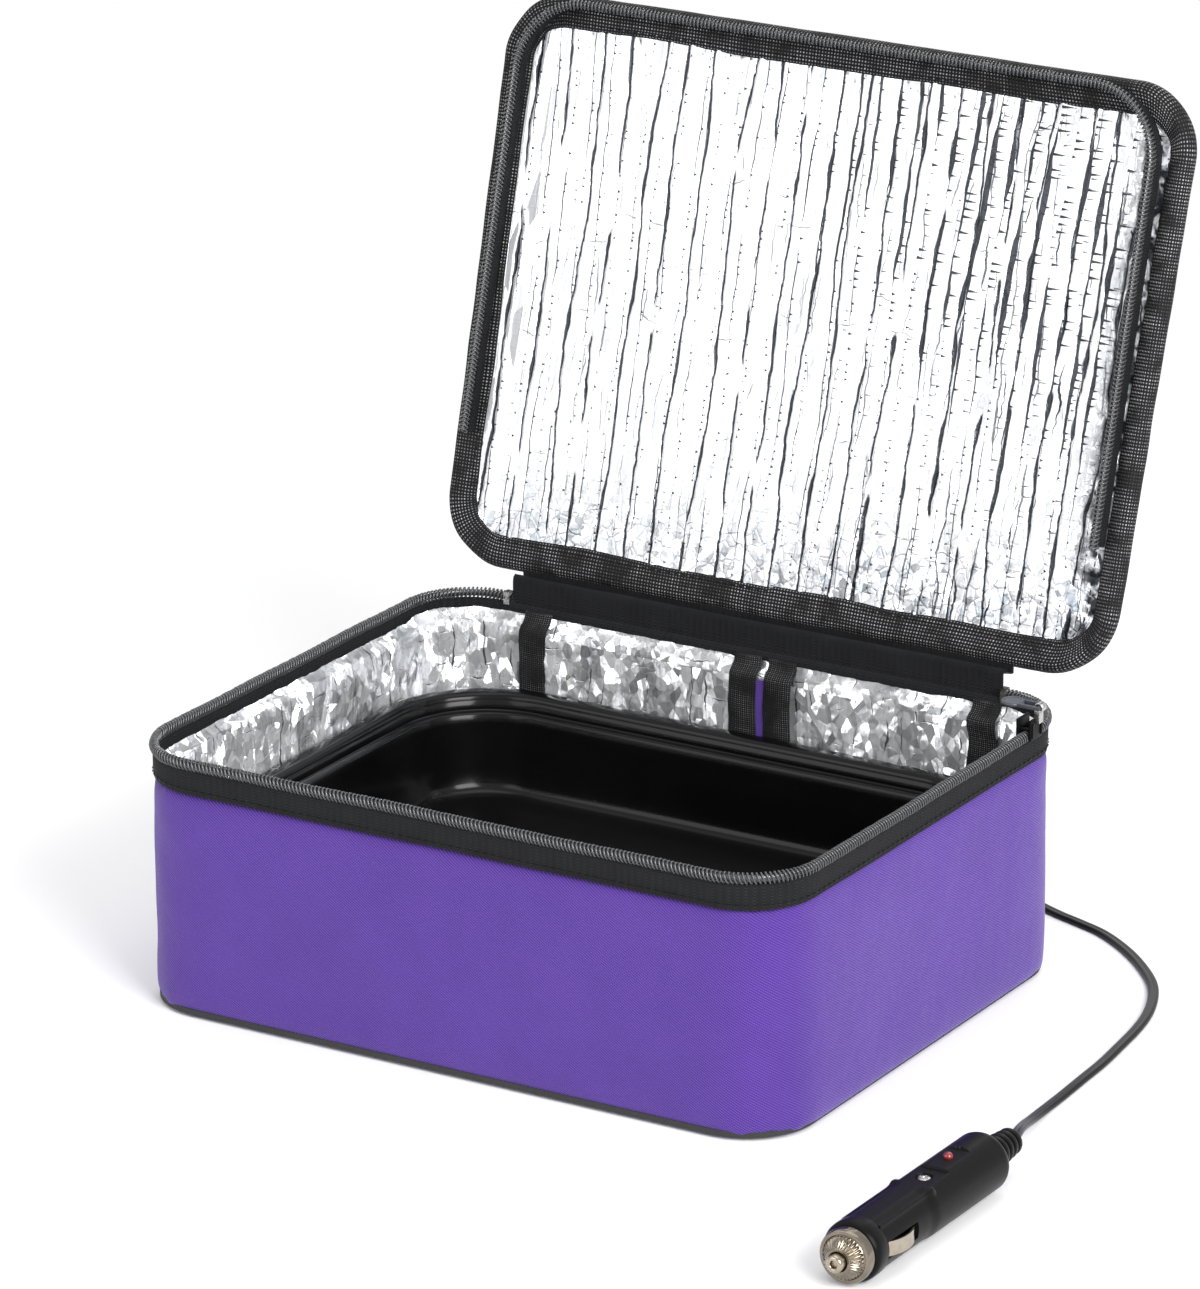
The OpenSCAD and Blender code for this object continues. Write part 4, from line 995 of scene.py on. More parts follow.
bag = {
    "width": 256, "depth": 206, "radius": 26, "flat": 102,
    "voxel": 4.5, "pressure": 4.0, "swell": 2.6, "hem": 0.35, "padding": 5.0,
    "held": (7, 76, 23.5), "foot": [(5, 0.2), (2.4, 0.15), (1.0, 0.6), (0.3, 1.8), (0.05, 3.6), (0, 6)],
    "base": [(7, 0), (5, 0.06), (4.1, 0.3), (3.9, 0.7), (4.3, 1.4), (5.6, 2.2), (8, 3)],
}
bagShape = (bag["width"], bag["depth"], bag["radius"])
bagStraight = (bag["width"] / 2 - bag["radius"], bag["depth"] / 2 - bag["radius"])


def bagReach(points):
    # how far each point lies from the straight part's corners, in x and y
    return [points[:, k] - np.clip(points[:, k], -half, half) for k, half in enumerate(bagStraight)]


def shapeWall(piece):
    # slow waves, drag lines towards the corners, and a slack fold above the base
    points = corners(piece)
    run, _ = around(points[:, 0], points[:, 1], *bagShape)
    z = points[:, 2]
    free = np.clip((z - 5) / 14, 0, 1) * np.clip((80 - z) / 12, 0, 1)
    dx, dy = bagReach(points)
    reach = np.hypot(dx, dy)
    depth = bag["radius"] - reach
    # the padding bulges outwards only: its inner face stays behind the foil
    pull = np.clip(depth - bag["padding"], 0, 3) / np.maximum(reach, 1)
    points[:, 0] += dx * pull
    points[:, 1] += dy * pull
    outer = np.clip((3.5 - depth) / 2, 0, 1)
    flatRun = np.stack([run, z * 1.0, z * 0], 1)
    slow = rumple(flatRun * (1, 1.3, 1), 62, 1)
    drag = rumple(np.stack([run + z * 0.9, z * 0.35, z * 0], 1), 17, 2)
    corner = np.clip(np.minimum(np.abs(dx), np.abs(dy)) / 8, 0, 1)
    sag = np.exp(-((z - 13) / 8) ** 2) * (0.4 + 0.6 * rumple(flatRun, 45, 3))
    out = free * outer * (slow * 0.9 + drag * (0.16 + 0.22 * corner) + sag * 0.5)
    points = points + outwards(piece) * out[:, None]
    drop = points[:, 2].min() - bag["hem"]
    points[:, 2] -= drop * np.clip((16 - points[:, 2]) / 14, 0, 1)
    place(piece, points)


def makeWall():
    low, high, inside = bag["held"]
    outer = bag["foot"] + [(0, z) for z in range(9, 81, 3)]
    outer += [(0, 81.4), (0.5, 82), (5.0, 82), (5.5, 81.4)]
    inner = [(5.5, z) for z in range(78, 3, -5)] + [(5.4, 1)]
    piece = loft("bagWall", plateRings(bagShape, outer + inner, arc=14, alongX=60, alongY=46), tube=True)
    inflate(piece, bag["voxel"], bag["pressure"], bag["swell"],
            lambda p: (p[:, 2] < low) | (p[:, 2] > high) | (np.hypot(*bagReach(p)) < inside))
    shapeWall(piece)
    wrapFlow(piece, bagShape)
    dress(piece, "purple", "bag", "purple_fabric", "outer_shell", "front_pad", "back_pad",
          "left_pad", "right_pad")
    return piece


def makeBase():
    rings = plateRings(bagShape, bag["base"], arc=16, alongX=40, alongY=30)
    piece = loft("baseCloth", rings, capStart=True, capEnd=True)
    return dress(piece, "baseCloth", "bag", "black_fabric", "base_cover")


rim = {
    "profile": [(0.3, 81.6), (0.15, 82.4), (0.1, 83.4), (0.05, 86.0), (0.0, 88.9), (0.1, 90.3),
                (0.6, 90.9), (1.2, 90.5), (1.5, 88.9), (1.8, 86.4), (2.4, 84.9), (3.6, 84.25),
                (4.8, 84.0), (5.2, 83.5), (5.3, 82.6), (5.25, 81.0), (5.1, 79.0), (4.9, 81.6)],
    "sway": 0.45, "swaySize": 38, "seed": 4.0,
}


def makeRim():
    # the tape's height wanders a little along the outline
    rings = []
    for ring in plateRings(bagShape, rim["profile"], arc=18, alongX=70, alongY=52):
        made = []
        for x, y, z in ring:
            run = float(around(np.array(x), np.array(y), *bagShape)[0])
            made.append((x, y, z + rim["sway"] * wobble(run / rim["swaySize"], z / 40, rim["seed"])))
        rings.append(made)
    piece = loft("rimTape", rings, tube=True, sharp=60)
    return dress(piece, "herringbone", "bag", "black_fabric", "rim_tape")


makeWall()
makeBase()
makeRim()
print("bag wall, base and rim made")


# foil lining

lining = {
    "inset": 5.7, "low": 6.05, "high": 83.9, "rows": 46, "reach": 1.7,
    "lap": [(5.2, 84.5), (3.9, 85.2), (3.0, 85.8), (2.6, 86.3), (2.5, 86.8)],
    "lapHigh": 4.5, "lapSway": 0.9, "lapBack": 1.7, "puff": 0.35,
    "floorColumns": 230, "floorRows": 180, "floorRelief": 0.55,
}


def crumple(points, size, seed):
    # 0 to 1: flat facets with sharp valleys between them
    shift = Vector((seed * 11.7, seed * 3.9, seed * 7.3))
    made = []
    for p in points:
        q = Vector(p) / size + shift
        wide = abs(noise.noise(q))
        fine = abs(noise.noise(q * 2.3 + Vector((5, 9, 1))))
        made.append(min(1, wide * 1.35 + fine * 0.6))
    return np.array(made)


def keepCreaseShade(piece, values):
    # the painted crease shade at each corner, for the film
    layer = piece.data.attributes.new("fold", "FLOAT", "POINT")
    layer.data.foreach_set("value", np.asarray(values, dtype=np.float32))


def valleys(piece, values, sharp=11):
    # painted shade, strongest in the crumple's valleys
    keepCreaseShade(piece, np.exp(-np.asarray(values) * sharp))


def gridPiece(name, vertices, columns, rows):
    # an upright sheet, with its flow in x and z
    wide = columns + 1
    faces = [(j * wide + i, j * wide + i + 1, (j + 1) * wide + i + 1, (j + 1) * wide + i)
             for j in range(rows) for i in range(columns)]
    uvs = [(vertices[k][0] * mm, vertices[k][2] * mm) for face in faces for k in face]
    return meshPiece(name, vertices, faces, uvs, 180)


def makeWallFoil(shape):
    low, high, rows = lining["low"], lining["high"], lining["rows"]
    base = np.array(outline(*shape, arc=30, alongX=128, alongY=96))
    halfX, halfY, radius = shape[0] / 2 - shape[2], shape[1] / 2 - shape[2], shape[2]
    inner = np.stack([np.clip(base[:, 0], -halfX, halfX), np.clip(base[:, 1], -halfY, halfY)], 1)
    inward = (inner - base) / radius
    run, _ = around(base[:, 0], base[:, 1], *shape)
    rings, folds = [], []
    for i in range(rows + 1):
        z = low + (high - low) * i / rows
        spots = np.stack([run * 1.0, np.full(len(run), z * 0.8), np.zeros(len(run))], 1)
        creased = crumple(spots, 17, 1) * 0.55 + crumple(spots, 6.5, 2) * 0.45
        folds.append(creased)
        depth = lining["reach"] * creased * min(1, (high - z) / 4 + 0.15)
        moved = base + inward * depth[:, None]
        rings.append([(x, y, z) for x, y in moved])
    # the film laps over the wall's top, up to the zip tape, with a ragged edge
    ragged = [wobble(r / 6, 0.4, 3) + 0.6 * wobble(r / 1.7, 2, 5) for r in run]
    for inset, z in lining["lap"]:
        share = (z - high) / lining["lapHigh"]
        puff = np.array([wobble(r / 5, z / 3, 9) for r in run])
        swell = lining["puff"] * puff * (1 - share * 0.6)
        moved = base + inward * (inset - lining["inset"] + swell)[:, None]
        share = max(share, 0.0)
        lift = [lining["lapSway"] * w + lining["lapBack"] * min(1, max(0, y / 8 - 9))
                for (_, y), w in zip(moved, ragged)]
        rings.append([(x, y, z + share * up) for (x, y), up in zip(moved, lift)])
        folds.append(np.clip(0.25 + np.abs(puff) * 2.2, 0, 1))
    wall = loft("liningFoil", [list(reversed(ring)) for ring in rings], sharp=180)
    valleys(wall, np.concatenate([fold[::-1] for fold in folds]))
    return wall


def makeFloorFoil(shape):
    columns, rows = lining["floorColumns"], lining["floorRows"]
    halfX, halfY, radius = shape[0] / 2 - shape[2], shape[1] / 2 - shape[2], shape[2]
    spots, index = [], {}
    for j in range(rows + 1):
        for i in range(columns + 1):
            x = (i / columns - 0.5) * (shape[0] - 1)
            y = (j / rows - 0.5) * (shape[1] - 1)
            gapX, gapY = max(abs(x) - halfX, 0), max(abs(y) - halfY, 0)
            if gapX and gapY and math.hypot(gapX, gapY) > radius + 0.4:
                continue
            index[(i, j)] = len(spots)
            spots.append((x, y, 40))
    creased = crumple(spots, 17, 3) * 0.6 + crumple(spots, 6, 4) * 0.4
    vertices = [(x, y, lining["low"] + lining["floorRelief"] * c) for (x, y, _), c in zip(spots, creased)]
    squares = [((i, j), (i + 1, j), (i + 1, j + 1), (i, j + 1)) for j in range(rows) for i in range(columns)]
    faces = [tuple(index[k] for k in square) for square in squares if all(k in index for k in square)]
    uvs = [(vertices[k][0] * mm, vertices[k][1] * mm) for face in faces for k in face]
    floor = meshPiece("floorFoil", vertices, faces, uvs, 180)
    valleys(floor, creased)
    return floor


def makeLining():
    inset = lining["inset"]
    shape = (bag["width"] - 2 * inset, bag["depth"] - 2 * inset, bag["radius"] - inset)
    piece = join("bagFoil", [makeWallFoil(shape), makeFloorFoil(shape)])
    return dress(piece, "wallFoil", "bag", "foil", "floor_foil", "floor_pad", "front_foil", "left_foil",
                 "right_foil")


panels = {
    "left": (-92, 5.5), "right": (8.5, 101), "low": 16, "high": 82.6, "front": 94.6, "lining": 95.3,
    "tape": 11, "swell": 1.5, "tapeThick": 1.3, "columns": 170, "rows": 110, "dentDeep": 2.2,
    # where each panel is dented: x, its reach, z and its reach
    "leftDent": (-74, 26, 34, 30), "rightDent": (80, 26, 40, 34),
    "curve": 5.5, "curveSize": 16,
    "tapeTop": [(100.0, 89.4), (99.7, 88.2), (99.2, 87.0), (98.2, 85.9), (96.8, 85.0), (95.7, 84.1)],
}


def panelEdge(side, z):
    # the right panel's outer edge curves to the left lower down
    x0, x1 = panels[side]
    if side == "right":
        x1 -= panels["curve"] * math.exp(-((z - panels["low"]) / panels["curveSize"]) ** 1.5)
    return x0, x1


def makePanel(side):
    low, high, tape, front = panels["low"], panels["high"], panels["tape"], panels["front"]
    columns, rows = panels["columns"], panels["rows"]
    vertices = []
    for j in range(rows + 1):
        z = low + 0.6 + (high - low - 0.6) * j / rows
        x0, x1 = panelEdge(side, z)
        x0, x1 = x0 + tape - 2.5, x1 - tape + 2.5
        for i in range(columns + 1):
            u = i / columns
            x = x0 + (x1 - x0) * u
            vertices.append([x, front, z])
    spots = [(x, z, 9 if side == "left" else 33) for x, _, z in vertices]
    creased = crumple(spots, 19, 5) * 0.55 + crumple(spots, 5.5, 6) * 0.3 + crumple(
        [(x * 2.4, z * 0.5, 3) for x, _, z in vertices], 15, 7) * 0.3
    atX, wide, atZ, tall = panels[side + "Dent"]
    dents = [math.exp(-(((x - atX) / wide) ** 2 + ((z - atZ) / tall) ** 2)) for x, _, z in vertices]
    facets = crumple(spots, 26, 8)
    for k, (vertex, crease, deep, facet) in enumerate(zip(vertices, creased, dents, facets)):
        i = k % (columns + 1)
        cushion = math.sin(math.pi * i / columns) ** 0.5 if 0 < i < columns else 0
        cushion *= min(1, (vertex[2] - low) / 12)
        deep *= min(1, max(0, vertex[2] - low - 4) / 12)
        vertex[1] = (front + 1.0 - panels["swell"] * cushion * (0.35 + 0.65 * crease)
                     - deep * facet * panels["dentDeep"])
    piece = gridPiece(side + "PanelFoil", vertices, columns, rows)
    valleys(piece, creased, 10)
    dress(piece, "wallFoil", "bag", "foil", "back_panel_" + side)
    return piece


def ribbon(path, width, thick, wave, seed, curl=0.25):
    # a flat woven strip with rounded edges along a path, facing the bag's front
    points = [Vector(p) for p in path]
    half, t = width / 2, thick / 2
    section = [(-half, -t * 0.3), (-half + 0.35, -t), (0, -t), (half - 0.35, -t), (half, -t * 0.3),
               (half, t * 0.4), (half - 0.5, t), (half * 0.35, t * (1 + curl)),
               (-half * 0.35, t * (1 + curl)), (-half + 0.5, t), (-half, t * 0.4)]
    rings, up = [], Vector((0, -1, 0))
    for i, p in enumerate(points):
        along = (points[min(i + 1, len(points) - 1)] - points[max(i - 1, 0)]).normalized()
        side = along.cross(up).normalized()
        sway = wave * wobble(i * 0.13, seed, 2.1)
        lift = wave * 0.7 * wobble(i * 0.21, seed, 7.7)
        rings.append([tuple(p + side * (s + sway) + up * (h + lift)) for s, h in section])
    return loft("strip", rings, capStart=True, capEnd=True, sharp=50)


def makePanelTape(side):
    low, high, tape, front = panels["low"], panels["high"], panels["tape"], panels["front"]
    strips = []
    for edge, half in enumerate((tape / 2, -tape / 2)):
        # over the film's lap at the top, then down the wall
        path = [(panelEdge(side, z)[edge] + half, y, z) for y, z in panels["tapeTop"]]
        for k in range(41):
            z = high + 0.6 - (high - low) * k / 40
            path.append((panelEdge(side, z)[edge] + half, front + 0.75, z))
        strips.append(ribbon(path, tape, panels["tapeThick"], 0.9, edge + len(side), 0.7))
    x0, x1 = panelEdge(side, low)
    path = [(x0 + 2 + (x1 - x0 - 4) * k / 50, front + 0.9, low + 2.2) for k in range(51)]
    strips.append(ribbon(path, 4.4, 1.1, 0.4, 9))
    piece = join("panelTape" + side.capitalize(), strips)
    return dress(piece, "edgeTape", "bag", "black_fabric", "panel_binding_" + side)


def makeBackLining():
    # purple cloth behind the bound panels
    columns, rows, first, last = 24, 36, panels["left"][1] - 9, panels["right"][0] + 9
    vertices = []
    for j in range(rows + 1):
        for i in range(columns + 1):
            x = first + (last - first) * i / columns
            z = panels["low"] + 1 + (82.5 - panels["low"] - 1) * j / rows
            vertices.append((x, panels["lining"] - 0.2 * wobble(x / 14, z / 20, 3), z))
    piece = gridPiece("backLining", vertices, columns, rows)
    return dress(piece, "purple", "bag", "purple_fabric", "back_lining")


makeLining()
makeBackLining()
for side in ("left", "right"):
    makePanel(side)
    makePanelTape(side)
print("lining made")


# lid, made closed and turned open about its hinge line

lid = {
    "width": 266, "depth": 206, "middleY": -2, "radius": 24, "hinge": (103, 100), "open": 106,
    "under": 107, "top": 113.4, "tape": 11.5,
    "voxel": 5.0, "pressure": 4.0, "swell": 4.5,
    "columns": 560, "rows": 150, "spread": 1.01, "flare": 0.026, "lean": 0.5,
    "pad": [(5, 0), (1.8, 0.1), (1.0, 1), (0.9, 2.6)], "padIn": 2.2, "padTop": 0.8, "held": 9,
}
lidShape = (lid["width"], lid["depth"], lid["radius"])


def opened(points, slack=1.0):
    # the padded lid spreads by its slack when it hangs open, but the zip keeps its length
    y0, z0 = lid["hinge"]
    a = math.radians(-lid["open"])
    points = np.asarray(points, float).copy()
    y, z = points[:, 1] - y0, points[:, 2] - z0
    points[:, 0] *= 1 + slack * (lid["spread"] - 1 + lid["flare"] * np.clip(-y / lid["depth"], 0, 1))
    points[:, 1] = y0 + y * math.cos(a) - z * math.sin(a)
    points[:, 2] = z0 + y * math.sin(a) + z * math.cos(a)
    return points


def openUp(piece, slack=1.0):
    place(piece, opened(corners(piece), slack))
    return piece


lidRelief = {
    "span": 11.8, "groove": 0.85, "narrow": 0.36, "swell": 0.85, "rightFrom": 30, "rightSwell": 1.6,
    "ridge": 0.34, "ridgeAside": 1.5, "ridgeWide": 1.1, "apart": 3.2,
    # how each groove wanders: seed by line, size along it, seed and reach
    "wander": [(3.7, 50, 1.5, 2.6), (1.9, 9, 4.5, 0.7), (1.1, 2.6, 9.5, 0.3)],
}


def foilRelief(x, y):
    # height above the film and the painted shade of its fold, at a place on the lid where y runs to the hinge
    rise, dark = 0.0, 0.0
    span = lidRelief["span"]
    near = round(x / span)
    for k in (near - 1, near, near + 1):
        wander = sum(wobble(k * a, y / size, b) * reach for a, size, b, reach in lidRelief["wander"])
        line = k * span + wander + lidRelief["apart"] * wobble(k * 7.1, 0.3, 0.7)
        on = max(0.0, min(1.0, (wobble(k * 5.3, y / 22, 8.2) + 0.42) * 7))
        swell = lidRelief["swell"] * (lidRelief["rightSwell"] if x > lidRelief["rightFrom"] else 1)
        wide = lidRelief["narrow"] + swell * max(0.0, wobble(k * 2.2, y / 12, 6.6))
        d = (x - line) / wide
        rise -= lidRelief["groove"] * on * math.exp(-d * d)
        aside = (x - line - lidRelief["ridgeAside"]) / lidRelief["ridgeWide"]
        rise += lidRelief["ridge"] * on * math.exp(-aside ** 2)
        dark = max(dark, on * math.exp(-(d * 1.05) ** 2))
    return rise, dark


crinkle = {
    "insetX": 4.5, "insetY": 8.5, "side": 16, "upper": 10, "upperShare": 0.7, "sharp": 9,
    "slow": 0.55, "facet": 0.12, "edge": 0.9, "level": 0.4,
}


def makeLidFoil():
    half = (lid["width"] / 2 - crinkle["insetX"], lid["depth"] / 2 - crinkle["insetY"])
    columns, rows = lid["columns"], lid["rows"]
    vertices, folds = [], []
    for j in range(rows + 1):
        y = -half[1] + 2 * half[1] * j / rows
        for i in range(columns + 1):
            x = -half[0] + 2 * half[0] * i / columns
            rise, dark = foilRelief(x, y)
            # crinkles along the right edge and the upper one
            edge = math.exp(-((half[0] - x) / crinkle["side"]) ** 2)
            edge += crinkle["upperShare"] * math.exp(-((y + half[1]) / crinkle["upper"]) ** 2)
            crumpled = abs(wobble(x / 9, y / 13, 21.0)) + 0.5 * abs(wobble(x / 3.6, y / 5.5, 31.0))
            slow, facet = wobble(x / 42, y / 60, 41.0), wobble(x / 5.5, y / 15, 51.0)
            rise += (crinkle["slow"] * slow + crinkle["facet"] * facet
                     + edge * crinkle["edge"] * (crumpled - crinkle["level"]))
            vertices.append((x, lid["middleY"] + y, lid["under"] + 0.2 - rise - 0.25))
            # painted shade in the grooves and in the crinkles' valleys along the edges
            folds.append(min(1.0, max(dark, edge * math.exp(-crumpled * crinkle["sharp"]))))
    wide = columns + 1
    r = lid["radius"] - crinkle["insetY"]
    inner = (half[0] - r, half[1] - r)
    keep = [math.hypot(max(abs(x) - inner[0], 0), max(abs(y - lid["middleY"]) - inner[1], 0)) <= r + 0.5
            for x, y, _ in vertices]
    faces = [face for j in range(rows) for i in range(columns)
             for face in [(j * wide + i, (j + 1) * wide + i, (j + 1) * wide + i + 1, j * wide + i + 1)]
             if all(keep[k] for k in face)]
    uvs = [(vertices[k][0] * mm, vertices[k][1] * mm) for face in faces for k in face]
    piece = meshPiece("lidFoil", vertices, faces, uvs, 180)
    keepCreaseShade(piece, folds)
    openUp(piece)
    return dress(piece, "lidFoil", "lid", "foil", "lid_foil")


def makeLidPad():
    under, top = lid["under"] + lid["padIn"], lid["top"] - lid["padTop"]
    profile = [(inset, under + up) for inset, up in lid["pad"]]
    profile += [(0.9, top - 1.4), (1.4, top - 0.4)] + [(inset, top) for inset in (3, 8, 14, 20)]
    rings = plateRings(lidShape, profile, arc=10, alongX=44, alongY=34)
    rings = [[(x, y + lid["middleY"], z) for x, y, z in ring] for ring in rings]
    piece = loft("lidCover", rings, capStart=True, capEnd=True)
    inflate(piece, lid["voxel"], lid["pressure"], lid["swell"],
            lambda p: (p[:, 2] < under + 1.4) | (np.minimum(
                lid["width"] / 2 - np.abs(p[:, 0]),
                lid["depth"] / 2 - np.abs(p[:, 1] - lid["middleY"])) < lid["held"]))
    points = corners(piece)
    upper = np.clip((points[:, 2] - under - 2) / 3, 0, 1)
    wrinkle = rumple(points, 34, 5) * 0.8 + rumple(points * (1, 0.4, 1), 13, 6) * 0.3
    points[:, 2] += upper * wrinkle
    place(piece, points)
    flat = points[loopCorners(piece)]
    setFlow(piece, flat[:, 0], flat[:, 1])
    openUp(piece)
    dress(piece, "purple", "lid", "purple_fabric", "lid_pad", "lid_cover")
    return piece


def makeLidBinding():
    under, top, tape = lid["under"], lid["top"], lid["tape"]
    middle = (under + top) / 2
    section = [(tape, under + 0.4), (tape + 0.1, under - 0.15), (tape - 0.6, under - 0.75),
               (8.2, under - 1.0), (5.4, under - 1.25), (2.6, under - 1.15), (1.1, under - 0.7),
               (0.25, under + 0.3), (-0.35, under + 1.7), (-0.5, middle), (-0.35, top - 1.6),
               (0.3, top - 0.2), (1.2, top + 0.8), (3, top + 1.2), (6, top + 1.0), (tape - 0.6, top + 0.8),
               (tape + 0.1, top + 0.3), (tape, top - 0.4)]
    rings = []
    for inset, z in section:
        ring = outline(lid["width"] - 2 * inset, lid["depth"] - 2 * inset, max(lid["radius"] - inset, 4),
                       22, 84, 64)
        made = []
        for x, y in ring:
            run = float(around(np.array(x), np.array(y), *lidShape)[0])
            puff = wobble(run / 16, z / 9, 2.2)
            sway = wobble(run / 30, 0.4, 6.1)
            corner = min(max(abs(x) - 100, 0), max(abs(y) - 72, 0)) / 26
            swell = (0.35 + 0.9 * corner) * puff
            length = math.hypot(x, y)
            edge = 1 if inset > 9 else 0
            # the right side's tape lies closer to the edge
            x += lid["lean"] * max(0, inset - 2.5) * min(1, max(0, x - 40) / 60)
            x += x / length * (swell * 0.6 - edge * sway * 0.9)
            y += y / length * (swell * 0.6 - edge * sway * 0.9)
            made.append((x, y + lid["middleY"], z + swell * (-0.6 if z < middle else 0.5)))
        rings.append(made)
    piece = openUp(loft("lidBinding", rings, tube=True, sharp=70))
    return dress(piece, "binding", "lid", "black_fabric", "lid_binding")


def makeHingeTape():
    # one strip of cloth from the bag's back edge to the lid's, round the hinge line
    flat, depth = bag["flat"] - 2.6, bag["depth"] / 2
    low = [(depth + 0.45, z) for z in (78, 82, 86, 90, 94, 97, 98.6)]
    lidSide = opened([(0, depth + 0.45, z) for z in (101.4, 103, 105, 107, 108.2)]
                     + [(0, 101.6, 107.6), (0, 99.4, 107.0)])
    path = low + [(depth + 0.8, 99.8), (depth + 1.3, 100.4)] + [(y, z) for _, y, z in lidSide]
    columns, vertices = 80, []
    for thick in (0.35, -0.35):
        for i, (y, z) in enumerate(path):
            before, after = path[max(i - 1, 0)], path[min(i + 1, len(path) - 1)]
            run = Vector((after[0] - before[0], after[1] - before[1])).normalized()
            for k in range(columns + 1):
                x = flat * (2 * k / columns - 1)
                wave = 0.3 * wobble(x / 15, i * 0.35, 6)
                vertices.append((x, y + run.y * (thick + wave), z - run.x * (thick + wave)))
    wide, count = columns + 1, len(path)
    other = wide * count
    faces = []
    for i in range(count - 1):
        for k in range(columns):
            a, b = i * wide + k, i * wide + k + 1
            faces += [(a, b, b + wide, a + wide), (other + b, other + a, other + a + wide, other + b + wide)]
    border = ([(k, k + 1) for k in range(columns)]
              + [(i * wide + columns, (i + 1) * wide + columns) for i in range(count - 1)]
              + [((count - 1) * wide + k + 1, (count - 1) * wide + k) for k in reversed(range(columns))]
              + [((i + 1) * wide, i * wide) for i in reversed(range(count - 1))])
    faces += [(b, a, other + a, other + b) for a, b in border]
    uvs = [(vertices[k][0] * mm, (k % other) // wide * 3.4 * mm) for face in faces for k in face]
    piece = meshPiece("hingeTape", vertices, faces, uvs, 60)
    dress(piece, "herringbone", "bag", "black_fabric", "bag_hinge_tape", "lid_hinge_tape")
    length = sum(math.dist(a, b) for a, b in zip(path, path[1:]))
    piece.parent = None
    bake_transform(piece)
    return piece


makeLidFoil()
makeLidPad()
makeLidBinding()
makeHingeTape()
print("lid made")


# zip hoops and stitches, which repeat along a line

def makeRepeater(name, hoop):
    # a hoop across the line, or a rounded bead along it, at even steps, with a little jitter
    tree = bpy.data.node_groups.new(name, "GeometryNodeTree")
    face, sockets = tree.interface, {}
    face.new_socket("Path", in_out="INPUT", socket_type="NodeSocketGeometry")
    for label, value in (("Pitch", 0.002), ("Across", 0.002), ("Up", 0.002), ("Along", 0.001),
                         ("Wire", 0.0005), ("Lean", 0.0), ("Jitter", 0.05)):
        socket = face.new_socket(label, in_out="INPUT", socket_type="NodeSocketFloat")
        socket.default_value = value
        sockets[label] = socket.identifier
    sockets["Seed"] = face.new_socket("Seed", in_out="INPUT", socket_type="NodeSocketInt").identifier
    sockets["Material"] = face.new_socket("Material", in_out="INPUT",
                                          socket_type="NodeSocketMaterial").identifier
    face.new_socket("Mesh", in_out="OUTPUT", socket_type="NodeSocketGeometry")

    def node(kind, settings=None, links=None, values=None):
        made = tree.nodes.new(kind)
        for key, value in (settings or {}).items():
            setattr(made, key, value)
        for key, value in (values or {}).items():
            made.inputs[key].default_value = value
        for key, source in (links or {}).items():
            tree.links.new(source, made.inputs[key])
        return made.outputs

    given = node("NodeGroupInput")
    curve = node("GeometryNodeMeshToCurve", links={0: given["Path"]})[0]
    upright = node("GeometryNodeSetCurveNormal", {"mode": "Z_UP"}, {0: curve})[0]
    spots = node("GeometryNodeCurveToPoints", {"mode": "LENGTH"}, {0: upright, "Length": given["Pitch"]})
    if hoop:
        circle = node("GeometryNodeCurvePrimitiveCircle", values={"Resolution": 12, "Radius": 1.0})[0]
        size = node("ShaderNodeCombineXYZ", links={0: given["Across"], 1: given["Up"]}, values={2: 1.0})[0]
        oval = node("GeometryNodeTransform", links={0: circle, "Scale": size})[0]
        wire = node("GeometryNodeCurvePrimitiveCircle", values={"Resolution": 5},
                    links={"Radius": given["Wire"]})[0]
        bead = node("GeometryNodeCurveToMesh", links={0: oval, 1: wire})[0]
    else:
        ball = node("GeometryNodeMeshUVSphere", values={"Segments": 8, "Rings": 6, "Radius": 1.0})[0]
        size = node("ShaderNodeCombineXYZ", links={0: given["Across"], 1: given["Up"], 2: given["Along"]})[0]
        bead = node("GeometryNodeTransform", links={0: ball, "Scale": size})[0]
    smooth = node("GeometryNodeSetShadeSmooth", links={0: bead})[0]
    turn = node("ShaderNodeCombineXYZ", links={0: given["Lean"]})[0]
    leaned = node("GeometryNodeTransform", links={0: smooth, "Rotation": turn})[0]
    low = node("ShaderNodeMath", {"operation": "SUBTRACT"}, {1: given["Jitter"]}, {0: 1.0})[0]
    high = node("ShaderNodeMath", {"operation": "ADD"}, {1: given["Jitter"]}, {0: 1.0})[0]
    # the float's own sockets
    chance = node("FunctionNodeRandomValue", links={2: low, 3: high, "Seed": given["Seed"]})
    chance = [socket for socket in chance if socket.enabled][0]
    placed = node("GeometryNodeInstanceOnPoints", links={
        "Points": spots["Points"], "Instance": leaned, "Rotation": spots["Rotation"], "Scale": chance})[0]
    real = node("GeometryNodeRealizeInstances", links={0: placed})[0]
    painted = node("GeometryNodeSetMaterial", links={0: real, "Material": given["Material"]})[0]
    node("NodeGroupOutput", links={0: painted})
    return tree, sockets


repeaters = {"hoops": makeRepeater("hoops", True), "beads": makeRepeater("beads", False)}


